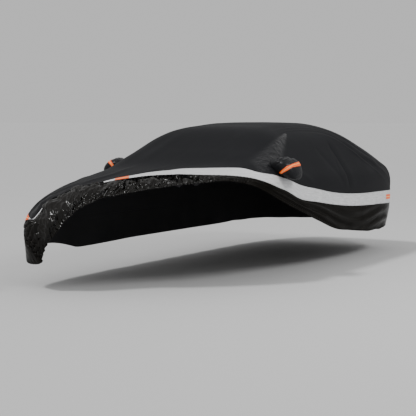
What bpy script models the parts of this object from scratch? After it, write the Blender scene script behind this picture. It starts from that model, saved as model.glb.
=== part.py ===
"""Fitted cover for a large saloon car, drawn back from one front corner.

The cloth is modelled where it hangs: pulled down over the whole body except the near front corner,
where its hem swings up over the wing and lies bunched across the bonnet.

Frame while modelling: x to the near side, y to the tail, z up, ground at z = 0, mid-length at y = 0.
Every piece is then moved so that the origin lies under the roof, where the cover is held.
"""

from typing import NamedTuple

import bpy
import numpy as np
from mathutils import Vector
from mathutils.geometry import delaunay_2d_cdt

# ---------------------------------------------------------------- sizes, in metres
CLOTH = 0.003  # thickness of the coated fabric
TAPE = 0.0012  # thickness of the sewn-on tape
JOIN = 0.00034  # space left between two sewn edges
SHARPEST = 0.02  # keeps the tip of a pointed panel from being drawn in too far
WALL_WAY = (0.37, 1.0, 0.21)  # two sewn edges split their walls the same way, by this direction
PANEL_STEP = 0.105  # spacing of points inside a panel

HELD_AT_Y = 0.35  # the cover is held under the highest part of the roof

FOOT_HEIGHT = 0.5  # the line inside the cover that every part of it faces
FOOT_FRONT = -1.45
FOOT_REAR = 1.55

HANG_HEM = 0.27  # heights above the ground of the hem and the band where the cover hangs free
HANG_LOW = 0.555
HANG_TOP = 0.70

CORNER_FRONT = 5.4  # squareness of the plan's corners, 2 would be an ellipse
CORNER_REAR = 5.1
ROUNDING = 0.223  # softness of the shoulder between top and sides
CAMBER = 0.048  # drop of the top from the middle to CAMBER_SPAN
CAMBER_SPAN = 0.9
SLACK = 0.034  # extra width at the hem where the cloth hangs loose round the far front corner


class Profile(NamedTuple):
    """One point of the line along the middle of the top."""

    y: float
    height: float


class Girth(NamedTuple):
    """Half width of the cover at one height."""

    height: float
    half_width: float


class Reach(NamedTuple):
    """How far the cover reaches at one height, forward or back."""

    height: float
    length: float


TOP_LINE = (
    Profile(-2.60, 0.620),
    Profile(-2.45, 0.763),
    Profile(-2.30, 0.830),
    Profile(-1.90, 0.930),
    Profile(-1.40, 1.020),
    Profile(-1.10, 1.077),
    Profile(-0.80, 1.206),
    Profile(-0.35, 1.406),
    Profile(0.00, 1.450),
    Profile(0.35, 1.472),
    Profile(0.70, 1.472),
    Profile(1.10, 1.440),
    Profile(1.60, 1.297),
    Profile(2.00, 1.168),
    Profile(2.35, 1.102),
    Profile(2.60, 1.055),
)
GIRTHS = (
    Girth(0.10, 0.905),
    Girth(0.30, 0.945),
    Girth(0.55, 0.979),
    Girth(0.75, 0.983),
    Girth(0.92, 0.962),
    Girth(1.05, 0.889),
    Girth(1.20, 0.795),
    Girth(1.35, 0.690),
    Girth(1.45, 0.579),
    Girth(1.70, 0.300),
)
NOSE = (
    Reach(0.10, 2.430),
    Reach(0.30, 2.500),
    Reach(0.50, 2.510),
    Reach(0.70, 2.485),
    Reach(0.85, 2.395),
    Reach(1.00, 2.240),
)
TAIL = (
    Reach(0.10, 2.370),
    Reach(0.30, 2.455),
    Reach(0.50, 2.530),
    Reach(0.75, 2.525),
    Reach(0.95, 2.480),
    Reach(1.10, 2.408),
    Reach(1.20, 2.300),
)


class Section(NamedTuple):
    """A place round the cover: where its hem, the band's lower edge and the band's upper edge lie."""

    place: str
    cells: int  # mesh cells from here to the next section
    hem: tuple
    low: tuple
    top: tuple
    low_lift: float = 0.0  # how far the cloth stands off the form at the band's lower edge
    top_lift: float = 0.0  # and at its upper edge
    bulge: float = 0.0  # and how much further midway up the skirt
    crumple: float = 0.0  # 1 where the skirt is crushed together


def hanging(place, cells, x, y):
    """A section where the skirt hangs straight down."""
    return Section(place, cells, (x, y, HANG_HEM), (x, y, HANG_LOW), (x, y, HANG_TOP))


def drawn(place, cells, edges, stands=(0.0, 0.0, 0.0, 0.0)):
    """A section where the cover is drawn up: its three edges, and how it stands off there."""
    return Section(place, cells, *edges, *stands)


SECTIONS = (
    hanging("tail, middle", 6, 0.0, 2.50),
    hanging("tail, near half", 6, 0.55, 2.48),
    drawn("near rear corner", 3, ((0.83, 2.15, 0.264), (0.88, 2.20, 0.540), (0.88, 2.20, 0.689))),
    drawn("near rear turn", 3, ((0.88, 1.91, 0.268), (0.93, 1.90, 0.551), (0.93, 1.89, 0.695))),
    drawn("behind rear wheel", 3, ((0.90, 1.75, 0.264), (0.95, 1.73, 0.559), (0.95, 1.72, 0.699))),
    drawn("rear quarter", 3, ((0.92, 1.52, 0.275), (0.96, 1.57, 0.565), (0.97, 1.55, 0.704))),
    drawn("rear wheel", 4, ((0.94, 1.19, 0.295), (0.97, 1.19, 0.576), (0.98, 1.18, 0.709))),
    drawn("rear door", 4, ((0.95, 0.83, 0.334), (0.98, 0.75, 0.600), (0.98, 0.74, 0.727))),
    drawn("rear door, front", 4, ((0.96, 0.43, 0.385), (0.98, 0.33, 0.641), (0.98, 0.33, 0.762))),
    drawn("door post", 4, ((0.98, -0.03, 0.507), (0.98, -0.05, 0.690), (0.98, -0.02, 0.813))),
    drawn("front door", 4, ((0.98, -0.45, 0.630), (0.98, -0.43, 0.743), (0.97, -0.42, 0.874))),
    drawn("below mirror", 4, ((0.98, -0.80, 0.735), (0.97, -0.72, 0.833), (0.94, -0.66, 0.940))),
    drawn(
        "door hinge",
        4,
        ((0.955, -1.10, 0.835), (0.955, -0.96, 0.895), (0.92, -0.85, 0.985)),
        (0.004, 0.004, 0.0, 0.0),
    ),
    drawn(
        "wing",
        4,
        ((0.890, -1.340, 0.925), (0.862, -1.200, 0.965), (0.825, -1.05, 1.018)),
        (0.012, 0.010, 0.0, 0.3),
    ),
    drawn(
        "wing, top",
        7,
        ((0.806, -1.458, 0.952), (0.776, -1.353, 0.980), (0.685, -1.110, 1.045)),
        (0.020, 0.015, 0.0, 0.6),
    ),
    drawn(
        "bonnet, near side",
        8,
        ((0.654, -1.664, 0.947), (0.566, -1.515, 0.980), (0.400, -1.236, 1.037)),
        (0.030, 0.020, 0.0, 0.9),
    ),
    drawn(
        "bonnet, near middle",
        6,
        ((0.439, -1.882, 0.920), (0.338, -1.649, 0.970), (0.186, -1.411, 1.016)),
        (0.045, 0.030, 0.0, 1.0),
    ),
    drawn(
        "bonnet, middle",
        3,
        ((0.260, -2.031, 0.888), (0.102, -1.773, 0.955), (-0.018, -1.598, 0.986)),
        (0.045, 0.030, 0.002, 1.0),
    ),
    drawn(
        "tape, start",
        3,
        ((0.168, -2.105, 0.864), (-0.010, -1.860, 0.936), (-0.098, -1.740, 0.962)),
        (0.045, 0.032, 0.004, 1.0),
    ),
    drawn(
        "tape, end",
        4,
        ((0.078, -2.160, 0.848), (-0.113, -1.927, 0.919), (-0.174, -1.845, 0.939)),
        (0.045, 0.034, 0.006, 1.0),
    ),
    drawn(
        "band's tip",
        4,
        ((-0.055, -2.231, 0.815), (-0.200, -1.974, 0.906), (-0.222, -1.950, 0.910)),
        (0.036, 0.040, 0.010, 1.0),
    ),
    drawn(
        "tuck, start",
        3,
        ((-0.129, -2.312, 0.769), (-0.327, -1.999, 0.895), (-0.273, -2.057, 0.880)),
        (0.018, 0.050, 0.030, 1.0),
    ),
    drawn(
        "tuck",
        2,
        ((-0.196, -2.378, 0.723), (-0.440, -2.050, 0.875), (-0.388, -2.095, 0.864)),
        (0.012, 0.050, 0.040, 1.0),
    ),
    drawn(
        "tuck, ridge",
        2,
        ((-0.229, -2.433, 0.671), (-0.446, -2.160, 0.837), (-0.417, -2.179, 0.831)),
        (0.020, 0.050, 0.026, 1.0),
    ),
    drawn(
        "tuck, deepest",
        3,
        ((-0.265, -2.463, 0.630), (-0.522, -2.197, 0.815), (-0.463, -2.234, 0.802)),
        (0.008, 0.046, 0.040, 1.0),
    ),
    drawn(
        "band comes out",
        3,
        ((-0.301, -2.493, 0.568), (-0.579, -2.299, 0.753), (-0.597, -2.284, 0.759)),
        (0.020, 0.026, 0.028, 1.0),
    ),
    drawn(
        "band shows",
        3,
        ((-0.329, -2.504, 0.531), (-0.588, -2.389, 0.686), (-0.607, -2.377, 0.692)),
        (0.012, 0.014, 0.016, 1.0),
    ),
    drawn(
        "nose, far corner",
        2,
        ((-0.360, -2.509, 0.499), (-0.626, -2.433, 0.629), (-0.636, -2.425, 0.635)),
        (0.006, 0.008, 0.008, 0.9),
    ),
    drawn(
        "far front corner",
        3,
        ((-0.431, -2.508, 0.419), (-0.677, -2.418, 0.626), (-0.681, -2.412, 0.632)),
        (0.003, 0.003, 0.003, 0.7),
    ),
    drawn(
        "round the corner",
        6,
        ((-0.483, -2.498, 0.318), (-0.745, -2.394, 0.616), (-0.757, -2.366, 0.648)),
        (0.002, 0.002, 0.002, 0.5),
    ),
    drawn("skirt's corner", 6, ((-0.51, -2.49, 0.262), (-0.94, -2.08, 0.555), (-0.94, -2.08, 0.70))),
    drawn("far front wheel", 6, ((-0.80, -2.30, 0.262), (-0.96, -1.70, 0.555), (-0.96, -1.70, 0.70))),
    drawn("far front door", 7, ((-0.93, -1.35, 0.265), (-0.97, -1.05, 0.555), (-0.97, -1.05, 0.70))),
    hanging("far door post", 8, -0.97, -0.35),
    hanging("far rear door", 8, -0.97, 0.45),
    hanging("far rear wheel", 6, -0.96, 1.25),
    hanging("far, behind wheel", 6, -0.95, 1.85),
    hanging("far rear corner", 6, -0.88, 2.20),
    hanging("tail, far half", 6, -0.55, 2.48),
)


class Place(NamedTuple):
    """A point of a seam, near the form's surface."""

    x: float
    y: float
    z: float


# The seam between the centre panel and a side panel, on the near side; the far one mirrors it.
ROOF_SEAM = (
    Place(0.825, -1.05, 1.018),
    Place(0.783, -0.925, 1.080),
    Place(0.673, -0.558, 1.263),
    Place(0.627, -0.374, 1.337),
    Place(0.575, -0.066, 1.389),
    Place(0.566, 0.250, 1.401),
    Place(0.587, 0.700, 1.395),
    Place(0.649, 0.930, 1.350),
    Place(0.708, 1.060, 1.296),
    Place(0.831, 1.360, 1.128),
    Place(0.900, 1.700, 0.965),
    Place(0.900, 2.020, 0.780),
)
SEAM_STEP = 0.10
# The centre panel is one cloth, built as five solids end to end so that each keeps a simple shape.
CENTRE_PARTS = ("bonnet", "windscreen", "roof", "rear_window", "boot")
CROSS_JOINS = (-1.02, -0.36, 0.86, 1.62)  # where one ends and the next begins, along the chart
SEAM_FRONT_SECTION = {"near": "wing", "far": "far front door"}
SEAM_REAR_SECTION = {"near": "near rear corner", "far": "far rear corner"}


class Crease(NamedTuple):
    """A soft ridge or, with a negative height, a trough across the panels."""

    place: str
    start: tuple
    end: tuple
    height: float
    width: float


CREASES = (
    Crease("rear post trough", (0.74, 0.66, 1.28), (0.98, 0.75, 0.76), -0.007, 0.040),
    Crease("rear post ridge", (0.73, 0.78, 1.27), (0.98, 0.85, 0.78), 0.004, 0.045),
    Crease("boot shoulder", (0.88, 1.35, 0.93), (0.88, 2.15, 0.90), -0.007, 0.060),
    Crease("rear quarter", (0.70, 1.10, 1.27), (0.90, 1.75, 0.98), 0.008, 0.060),
    Crease("front post ridge", (0.60, -0.20, 1.35), (0.84, -0.96, 1.03), 0.009, 0.035),
    Crease("front post trough", (0.66, -0.16, 1.30), (0.90, -0.88, 1.00), -0.009, 0.040),
    Crease("windscreen, near", (0.30, -0.45, 1.35), (0.55, -1.00, 1.08), 0.006, 0.070),
    Crease("windscreen, far", (-0.30, -0.45, 1.35), (-0.45, -1.05, 1.08), 0.006, 0.070),
    Crease("bonnet, far fold", (-0.45, -1.10, 1.07), (-0.55, -1.95, 0.90), 0.010, 0.055),
    Crease("bonnet, pulled fold", (-0.05, -1.15, 1.08), (-0.26, -1.80, 0.95), 0.009, 0.050),
    Crease("bonnet, far edge", (-0.75, -1.25, 0.97), (-0.72, -2.00, 0.85), -0.005, 0.060),
    Crease("far corner streak", (-0.70, -2.10, 0.84), (-0.80, -2.30, 0.72), 0.010, 0.045),
    Crease("rear window, near", (0.35, 1.20, 1.38), (0.45, 1.90, 1.16), 0.006, 0.070),
    Crease("rear window, far", (-0.35, 1.20, 1.38), (-0.45, 1.90, 1.16), 0.006, 0.070),
    Crease("boot, near drop", (0.35, 2.25, 1.05), (0.40, 2.50, 0.74), 0.008, 0.060),
    Crease("boot, far drop", (-0.30, 2.25, 1.05), (-0.25, 2.50, 0.74), 0.008, 0.060),
    Crease("far door, front", (-0.80, -0.30, 1.15), (-0.98, -0.15, 0.76), 0.008, 0.060),
    Crease("far door, rear", (-0.78, 0.70, 1.20), (-0.98, 0.90, 0.76), -0.009, 0.055),
    Crease("far rear quarter", (-0.70, 1.10, 1.27), (-0.92, 1.70, 0.90), 0.008, 0.060),
)


class Pocket(NamedTuple):
    """A hollow dome over a door mirror, sewn into a hole in the side panel."""

    middle: tuple  # of its mouth, with x as on the near side
    half_length: float  # of the mouth, along the car
    half_height: float
    depth: float  # from the side panel to the tip
    axis: tuple
    squareness: float
    swell: float  # how much wider the dome is than its mouth
    sag: float  # how far its lower side hangs down


POCKETS = {
    "near": Pocket((0.868, -0.678, 1.042), 0.128, 0.091, 0.188, (1.0, -0.05, 0.13), 2.6, 1.22, 0.045),
    "far": Pocket((0.900, -0.690, 1.010), 0.115, 0.085, 0.160, (1.0, -0.10, 0.17), 2.6, 1.18, 0.030),
}
POCKET_SIDES = 24
POCKET_STEP = 0.24  # spacing of points over the dome, where 1 is from its tip to its mouth
POCKET_NECK = 0.002  # how far the pocket stands out of its hole before it widens
POCKET_IN_HOLE = 0.993  # share of the hole's size that the neck takes


class DomePlace(NamedTuple):
    """A place on a pocket seen along its axis: 0, 0 is the tip and radius 1 the mouth."""

    down: float
    rear: float


# The middle of the tape over each pocket, from the lower front of its mouth; the far one lies higher.
TAPE_LINES = {
    "near": (
        DomePlace(0.500, -0.785),
        DomePlace(0.262, -0.765),
        DomePlace(0.100, -0.610),
        DomePlace(0.016, -0.376),
        DomePlace(-0.022, -0.107),
        DomePlace(-0.050, 0.140),
        DomePlace(-0.065, 0.300),
    ),
    "far": (
        DomePlace(0.030, -0.935),
        DomePlace(-0.133, -0.809),
        DomePlace(-0.243, -0.638),
        DomePlace(-0.283, -0.440),
        DomePlace(-0.262, -0.214),
        DomePlace(-0.215, 0.000),
        DomePlace(-0.150, 0.200),
    ),
}
TAPE_WIDTH = 0.036
DOME_SCALE = 0.10  # metres across the tape to one unit of the dome at the mouth
NARROWEST_TAPE = 0.45  # least distance from the tip that widens the tape
BLUNTNESS = 0.75  # power of a pocket's profile, 1 would be a half ball
TAPE_MARGIN = 0.32  # the tape on the band stays this share of its width from each edge

FLUTE_PITCH = 0.42  # metres of way from one hanging fold to the next
FLUTE_DEPTH = 0.012
SWOOP_DEPTH = 0.020  # folds that sag along the near side
SWOOP_COUNT = 2.4  # how many of them lie between the hem and the band
SWOOP_SAG = 0.45  # how far they sag, as a share of the skirt's height
SWOOP_LOWEST = 3.05  # where they are lowest, and half the length of the sag, in metres of way
SWOOP_HALF_LENGTH = 0.75
SWOOP_START = (1.3, 1.9)  # they grow and fade over these stretches of way
SWOOP_END = (6.2, 7.4)
HEM_RISE = 0.006  # how far the crushed hem stands off the form
CRUSH_DEPTH = 0.55  # share of the stand-off that the crushed folds take away
LIP_REACH = 0.16  # how far up the bunched skirt lifts the panels
SETTLE_REACH = 0.10  # how far from the band the creases reach their height
CREASE_END = 0.05  # how far past its ends a crease fades out
LATTICE_ROW = 0.866  # spacing of rows to points in a triangular lattice
EDGE_ROOM = 0.45  # inner points keep this share of a step from an outline
CREASE_ROOM = 0.5  # and this share from the points along the creases

SKIRT_SHARES = np.linspace(0.0, 1.0, 8)  # mesh lines of the skirt, from the hem up to the band


# ---------------------------------------------------------------- curves through tables
class SmoothTable:
    """A curve through the rows of a table, its first column against the others, with no overshoot."""

    def __init__(self, rows):
        table = np.array(rows, float)
        self.x = table[:, 0]
        self.y = table[:, 1:]
        steps = np.diff(self.x)[:, None]
        rise = np.diff(self.y, axis=0) / steps
        slope = np.empty_like(self.y)
        slope[0] = rise[0]
        slope[-1] = rise[-1]
        mean = (rise[:-1] * steps[1:] + rise[1:] * steps[:-1]) / (steps[:-1] + steps[1:])
        most = 3.0 * np.minimum(np.abs(rise[:-1]), np.abs(rise[1:]))
        limited = np.sign(mean) * np.minimum(np.abs(mean), most)
        slope[1:-1] = np.where(rise[:-1] * rise[1:] > 0.0, limited, 0.0)
        self.slope = slope

    def __call__(self, at):
        at = np.clip(np.asarray(at, float), self.x[0], self.x[-1])
        i = np.clip(np.searchsorted(self.x, at) - 1, 0, len(self.x) - 2)
        span = (self.x[i + 1] - self.x[i])[..., None]
        t = (at - self.x[i])[..., None] / span
        start = (2 * t**3 - 3 * t**2 + 1) * self.y[i] + (t**3 - 2 * t**2 + t) * span * self.slope[i]
        end = (3 * t**2 - 2 * t**3) * self.y[i + 1] + (t**3 - t**2) * span * self.slope[i + 1]
        return np.squeeze(start + end, -1) if self.y.shape[1] == 1 else start + end


def smoothstep(low, high, x):
    t = np.clip((x - low) / (high - low), 0.0, 1.0)
    return t * t * (3.0 - 2.0 * t)


# ---------------------------------------------------------------- the form that the cloth hangs on
top_line = SmoothTable(TOP_LINE)
girth = SmoothTable(GIRTHS)
nose = SmoothTable(NOSE)
tail = SmoothTable(TAIL)


def beyond(points):
    """How far points lie outside the form, roughly in metres; negative inside.

    Sides: a square-cornered oval plan whose half sizes change with height. Top: the middle line,
    cambered across. The two blend over ROUNDING.
    """
    x, y, z = points[..., 0], points[..., 1], points[..., 2]
    low = 1.0 - smoothstep(0.20, 1.05, z)
    loose_side = SLACK * np.exp(-(((y + 2.15) / 0.45) ** 2)) * np.clip(-x / 0.5, 0.0, 1.0) * low
    loose_nose = SLACK * np.exp(-(((x + 0.85) / 0.30) ** 2)) * (y < 0.0) * low
    half_width = girth(z) + loose_side
    length = np.where(y < 0.0, nose(z) + loose_nose, tail(z))
    corner = np.where(y < 0.0, CORNER_FRONT, CORNER_REAR)
    plan = (np.abs(x / half_width) ** corner + np.abs(y / length) ** corner) ** (1.0 / corner)
    side = (plan - 1.0) * half_width
    top = z - (top_line(y) - CAMBER * (x / CAMBER_SPAN) ** 2)
    share = np.clip(0.5 + 0.5 * (side - top) / ROUNDING, 0.0, 1.0)
    return side * share + top * (1.0 - share) + ROUNDING * share * (1.0 - share)


def foot(y):
    return np.stack([np.zeros_like(y), np.clip(y, FOOT_FRONT, FOOT_REAR), np.full_like(y, FOOT_HEIGHT)], -1)


def on_form(chart):
    """Chart places (n, 2) to points (n, 3) on the form.

    The chart is the cover laid out flat: across it, the angle in radians from straight up, seen
    from the foot line; along it, metres beside the foot line and angle again past its ends.
    """
    across = chart[:, 0]
    origin = foot(chart[:, 1])
    along = chart[:, 1] - origin[:, 1]
    angle = np.hypot(across, along)
    spread = np.sinc(angle / np.pi)
    heading = np.stack([across * spread, along * spread, np.cos(angle)], -1)
    near = np.zeros(len(chart))
    far = np.full(len(chart), 3.0)
    for _ in range(34):
        middle = 0.5 * (near + far)
        inside = beyond(origin + heading * middle[:, None]) < 0.0
        near = np.where(inside, middle, near)
        far = np.where(inside, far, middle)
    return origin + heading * near[:, None]


def chart_of(points):
    """Points near the form to their chart places."""
    points = np.asarray(points, float)
    away = points - foot(points[:, 1])
    flat = np.hypot(away[:, 0], away[:, 1])
    share = np.arctan2(flat, away[:, 2]) / np.maximum(flat, 1e-9)
    return np.stack([away[:, 0] * share, foot(points[:, 1])[:, 1] + away[:, 1] * share], -1)


def outward(points):
    """The form's unit normals."""
    reach = 0.001
    slope = [beyond(points + step) - beyond(points - step) for step in np.eye(3) * reach]
    normal = np.stack(slope, -1)
    return normal / np.linalg.norm(normal, axis=-1, keepdims=True)


# ---------------------------------------------------------------- the cover's edges
def closed_routes():
    """A table over the way round: hem, low and top as chart places, then how the cloth stands off."""
    hem, low, top = (chart_of([getattr(s, edge) for s in SECTIONS]) for edge in ("hem", "low", "top"))
    rest = np.array([[s.low_lift, s.top_lift, s.bulge, s.crumple] for s in SECTIONS])
    table = np.hstack([hem, low, top, rest])
    table = np.vstack([table[-2:], table, table[:3]])
    way = np.concatenate([[0.0], np.cumsum(np.linalg.norm(np.diff(table[:, 2:4], axis=0), axis=1))])
    way -= way[2]
    return SmoothTable(np.hstack([way[:, None], table])), way[2:-2]


routes, section_way = closed_routes()
WAY_ROUND = section_way[-1]
FIRST_STATION = np.concatenate([[0], np.cumsum([s.cells for s in SECTIONS])])
STATIONS = FIRST_STATION[-1]
PLACES = {s.place: i for i, s in enumerate(SECTIONS)}


def station_way(stations):
    """Station numbers, counted over all cells, to metres along the way round."""
    stations = np.asarray(stations) % STATIONS
    return np.interp(stations, FIRST_STATION, section_way)


def station_of(place):
    return int(FIRST_STATION[PLACES[place]])


def route(edge, stations):
    """Chart places (n, 2) of an edge at these stations."""
    column = {"hem": 0, "low": 2, "top": 4}[edge]
    return routes(station_way(stations))[:, column : column + 2]


def stands(stations):
    """Stand-off at the band's low and top edge, the skirt's bulge and how crushed it is."""
    return routes(station_way(stations))[:, 6:10].T


def run(first_place, last_place):
    """All stations from one section to another, the way round."""
    first = station_of(first_place)
    last = station_of(last_place)
    if last <= first:
        last += STATIONS
    return np.arange(first, last + 1)


# ---------------------------------------------------------------- folds
def ridge(x):
    """Sharp-topped folds of period 1, from 0 to 1."""
    return 1.0 - np.abs(np.sin(np.pi * x))


def hanging_folds(way, up):
    """Flutes that open to the hem, and folds that sag along the near side."""
    near_side = smoothstep(*SWOOP_START, way) * smoothstep(*SWOOP_END[::-1], way)
    flute = 0.5 + 0.5 * np.sin(2.0 * np.pi * way / FLUTE_PITCH + 1.3 * np.sin(way * 1.7))
    flutes = FLUTE_DEPTH * flute * (1.0 - up) ** 1.3 * (1.0 - 0.75 * near_side)
    sag = SWOOP_SAG * np.exp(-(((way - SWOOP_LOWEST) / SWOOP_HALF_LENGTH) ** 2))
    swoop = 0.5 + 0.5 * np.cos(2.0 * np.pi * (SWOOP_COUNT * (up + sag) + 0.10 * np.sin(2.4 * way)))
    return flutes + SWOOP_DEPTH * near_side * swoop * np.sin(np.pi * up)


def skirt_height(way, up, low_lift, bulge, crumple):
    """Stand-off of the skirt: way along it in metres, up from 0 at the hem to 1 at the band."""
    slanted = ridge(way / 0.21 + 0.7 * up + 0.35 * np.sin(3.1 * way))
    crossed = ridge(way / 0.145 - 1.1 * up + 0.4 * np.sin(4.7 * way + 1.0))
    sunk = CRUSH_DEPTH * crumple * (0.6 * slanted + 0.4 * crossed) * smoothstep(1.0, 0.75, up)
    rise = HEM_RISE * crumple * (1.0 - up) + low_lift * (1.0 - (1.0 - up) ** 2)
    rise += bulge * np.sin(np.pi * up)
    return rise * (1.0 - sunk) + (1.0 - crumple) * hanging_folds(way, up)


def crease_height(chart):
    """Sum of the creases at chart places: a bell profile that fades at both ends."""
    total = np.zeros(len(chart))
    for crease in CREASES:
        start, end = chart_of([crease.start, crease.end])
        length = np.linalg.norm(end - start)
        axis = (end - start) / length
        away = chart - start
        along = away @ axis
        aside = away[:, 1] * axis[0] - away[:, 0] * axis[1]
        taper = smoothstep(-CREASE_END, 0.25 * length, along)
        taper *= smoothstep(length + CREASE_END, 0.75 * length, along)
        total += crease.height * taper * np.exp(-((aside / crease.width) ** 2))
    return total


def lip_height(chart):
    """Stand-off that the bunched skirt gives the panels above the band, fading away from its edge."""
    stations = np.arange(STATIONS)
    edge = route("top", stations)
    top_lift = stands(stations)[1]
    gaps = np.linalg.norm(chart[:, None, :] - edge[None, :, :], axis=-1)
    nearest = gaps.argmin(axis=1)
    distance = gaps[np.arange(len(chart)), nearest]
    settle = smoothstep(0.0, SETTLE_REACH, distance)
    return top_lift[nearest] * np.exp(-((distance / LIP_REACH) ** 2)), settle


def on_panel(chart):
    """Points and normals of the cloth above the band at chart places."""
    base = on_form(chart)
    normals = outward(base)
    lip, settle = lip_height(chart)
    height = lip + crease_height(chart) * settle
    return base + normals * height[:, None], normals


# ---------------------------------------------------------------- cloth solids
def rim_of(faces):
    """Directed edges that only one face has: the outline of a sheet, (n, 2)."""
    edges = np.concatenate([faces[:, [0, 1]], faces[:, [1, 2]], faces[:, [2, 0]]])
    key = np.sort(edges, axis=1)
    _, index, count = np.unique(key, axis=0, return_inverse=True, return_counts=True)
    return edges[count[index.reshape(-1)] == 1]


def draw_in(points, normals, rim):
    """Moves the outline inwards by half a join, square to its two edges at each point."""
    heading = points[rim[:, 1]] - points[rim[:, 0]]
    left = np.cross(normals[rim[:, 0]], heading)
    left /= np.linalg.norm(left, axis=1, keepdims=True)
    leaving = np.zeros_like(points)
    arriving = np.zeros_like(points)
    leaving[rim[:, 0]] = left
    arriving[rim[:, 1]] = left
    corner = np.maximum(1.0 + np.sum(leaving * arriving, axis=1), SHARPEST)
    moved = points.copy()
    on_rim = np.unique(rim)
    shift = (leaving + arriving) / corner[:, None] * (JOIN / 2.0)
    moved[on_rim] += shift[on_rim]
    return moved


def sew(name, points, normals, faces, material, thickness=CLOTH, proud=0.0):
    """Makes one closed cloth solid: the outer face at points, the inner one a thickness below.

    A tape is proud: its outer face stands that far out, so its inner face clears what it lies on.
    """
    faces = np.asarray(faces)
    rim = rim_of(faces)
    outer = draw_in(points, normals, rim) + normals * proud
    inner = outer - normals * thickness
    count = len(points)
    start, end = rim[:, 0], rim[:, 1]
    ahead = points[end] @ WALL_WAY > points[start] @ WALL_WAY
    wall = np.concatenate(
        [
            np.stack([end, start, np.where(ahead, start, end) + count], 1),
            np.stack([np.where(ahead, end, start), start + count, end + count], 1),
        ]
    )
    every = np.concatenate([faces, faces[:, ::-1] + count, wall])
    used, index = np.unique(every, return_inverse=True)
    corners = np.concatenate([outer, inner])[used] - ORIGIN
    mesh = bpy.data.meshes.new(name)
    mesh.from_pydata(corners.tolist(), [], index.reshape(every.shape).tolist())
    mesh.validate()
    mesh.shade_smooth()
    mesh.materials.append(material)
    cloth = bpy.data.objects.new(name, mesh)
    bpy.context.scene.collection.objects.link(cloth)
    return cloth


def grid_faces(columns, rows):
    """Triangles of a grid whose points are numbered row by row within each column."""
    i, j = np.meshgrid(np.arange(columns - 1), np.arange(rows - 1), indexing="ij")
    a = (i * rows + j).reshape(-1)
    b, c, d = a + rows, a + rows + 1, a + 1
    return np.concatenate([np.stack([a, c, b], 1), np.stack([a, d, c], 1)])


def strip(first_edge, last_edge, stations, shares, height):
    """A strip between two edges: points, normals and faces. height(way, share) is its stand-off."""
    low = route(first_edge, stations)
    high = route(last_edge, stations)
    shares = np.asarray(shares, float)
    chart = low[:, None, :] * (1.0 - shares[None, :, None]) + high[:, None, :] * shares[None, :, None]
    base = on_form(chart.reshape(-1, 2))
    normals = outward(base)
    way = np.repeat(station_way(stations)[:, None], len(shares), axis=1)
    share = np.repeat(shares[None, :], len(stations), axis=0)
    stand_off = height(stations, way, share).reshape(-1, 1)
    return base + normals * stand_off, normals, grid_faces(len(stations), len(shares))


def skirt(name, stations, material):
    def height(stations, way, up):
        low_lift, _, bulge, crumple = stands(stations)[:, :, None]
        return skirt_height(way, up, low_lift, bulge, crumple)

    points, normals, faces = strip("hem", "low", stations, SKIRT_SHARES, height)
    return sew(name, points, normals, faces, material)


BAND_SHARES = (0.0, TAPE_MARGIN, 1.0 - TAPE_MARGIN, 1.0)


def band_height(stations, _way, up):
    low_lift, top_lift, _, _ = stands(stations)[:, :, None]
    return low_lift * (1.0 - up) + top_lift * up


def band(name, stations, material):
    points, normals, faces = strip("low", "top", stations, BAND_SHARES, band_height)
    return sew(name, points, normals, faces, material)


def band_tape(name, stations, material, shares=BAND_SHARES[1:3]):
    """A patch of tape on the band, over whole cells of it."""
    points, normals, faces = strip("low", "top", stations, shares, band_height)
    return sew(name, points, normals, faces, material, TAPE, TAPE + JOIN)


# ---------------------------------------------------------------- panels
def inside(outline, points):
    """Which points lie inside a closed outline."""
    x, y = points[:, 0][:, None], points[:, 1][:, None]
    x0, y0 = outline[:, 0][None], outline[:, 1][None]
    x1, y1 = np.roll(outline[:, 0], -1)[None], np.roll(outline[:, 1], -1)[None]
    crosses = (y0 > y) != (y1 > y)
    level = np.where(y1 == y0, 1.0, y1 - y0)
    hit = x < (x1 - x0) * (y - y0) / level + x0
    return (crosses & hit).sum(axis=1) % 2 == 1


def crease_places():
    """Chart places along each crease and its two flanks, so that the mesh can follow it."""
    found = []
    for crease in CREASES:
        start, end = chart_of([crease.start, crease.end])
        axis = (end - start) / np.linalg.norm(end - start)
        side = np.array([-axis[1], axis[0]])
        count = max(3, int(np.linalg.norm(end - start) / PANEL_STEP))
        shares = np.linspace(0.05, 0.95, count)[:, None]
        for offset in (0.0, -crease.width, crease.width):
            found.append(start + (end - start) * shares + side * offset)
    return np.concatenate(found)


def fill(outline, holes, step):
    """Chart places spread inside an outline, clear of its own points and of the holes."""
    low, high = outline.min(axis=0), outline.max(axis=0)
    rows = np.arange(low[1], high[1], step * LATTICE_ROW)
    columns = np.arange(low[0], high[0], step)
    x, y = np.meshgrid(columns, rows)
    x = x + step * 0.5 * (np.arange(len(rows))[:, None] % 2)
    grid = np.stack([x.reshape(-1), y.reshape(-1)], -1)
    creases = crease_places()
    gaps = np.linalg.norm(grid[:, None] - creases[None], axis=-1).min(axis=1)
    grid = np.concatenate([creases, grid[gaps > CREASE_ROOM * step]])
    loops = [outline] + list(holes)
    midway = [0.5 * (loop + np.roll(loop, -1, axis=0)) for loop in loops]
    edge = np.concatenate(loops + midway)
    gaps = np.linalg.norm(grid[:, None] - edge[None], axis=-1).min(axis=1)
    keep = inside(outline, grid) & (gaps > EDGE_ROOM * step)
    for hole in holes:
        keep &= ~inside(hole, grid)
    return grid[keep]


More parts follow.
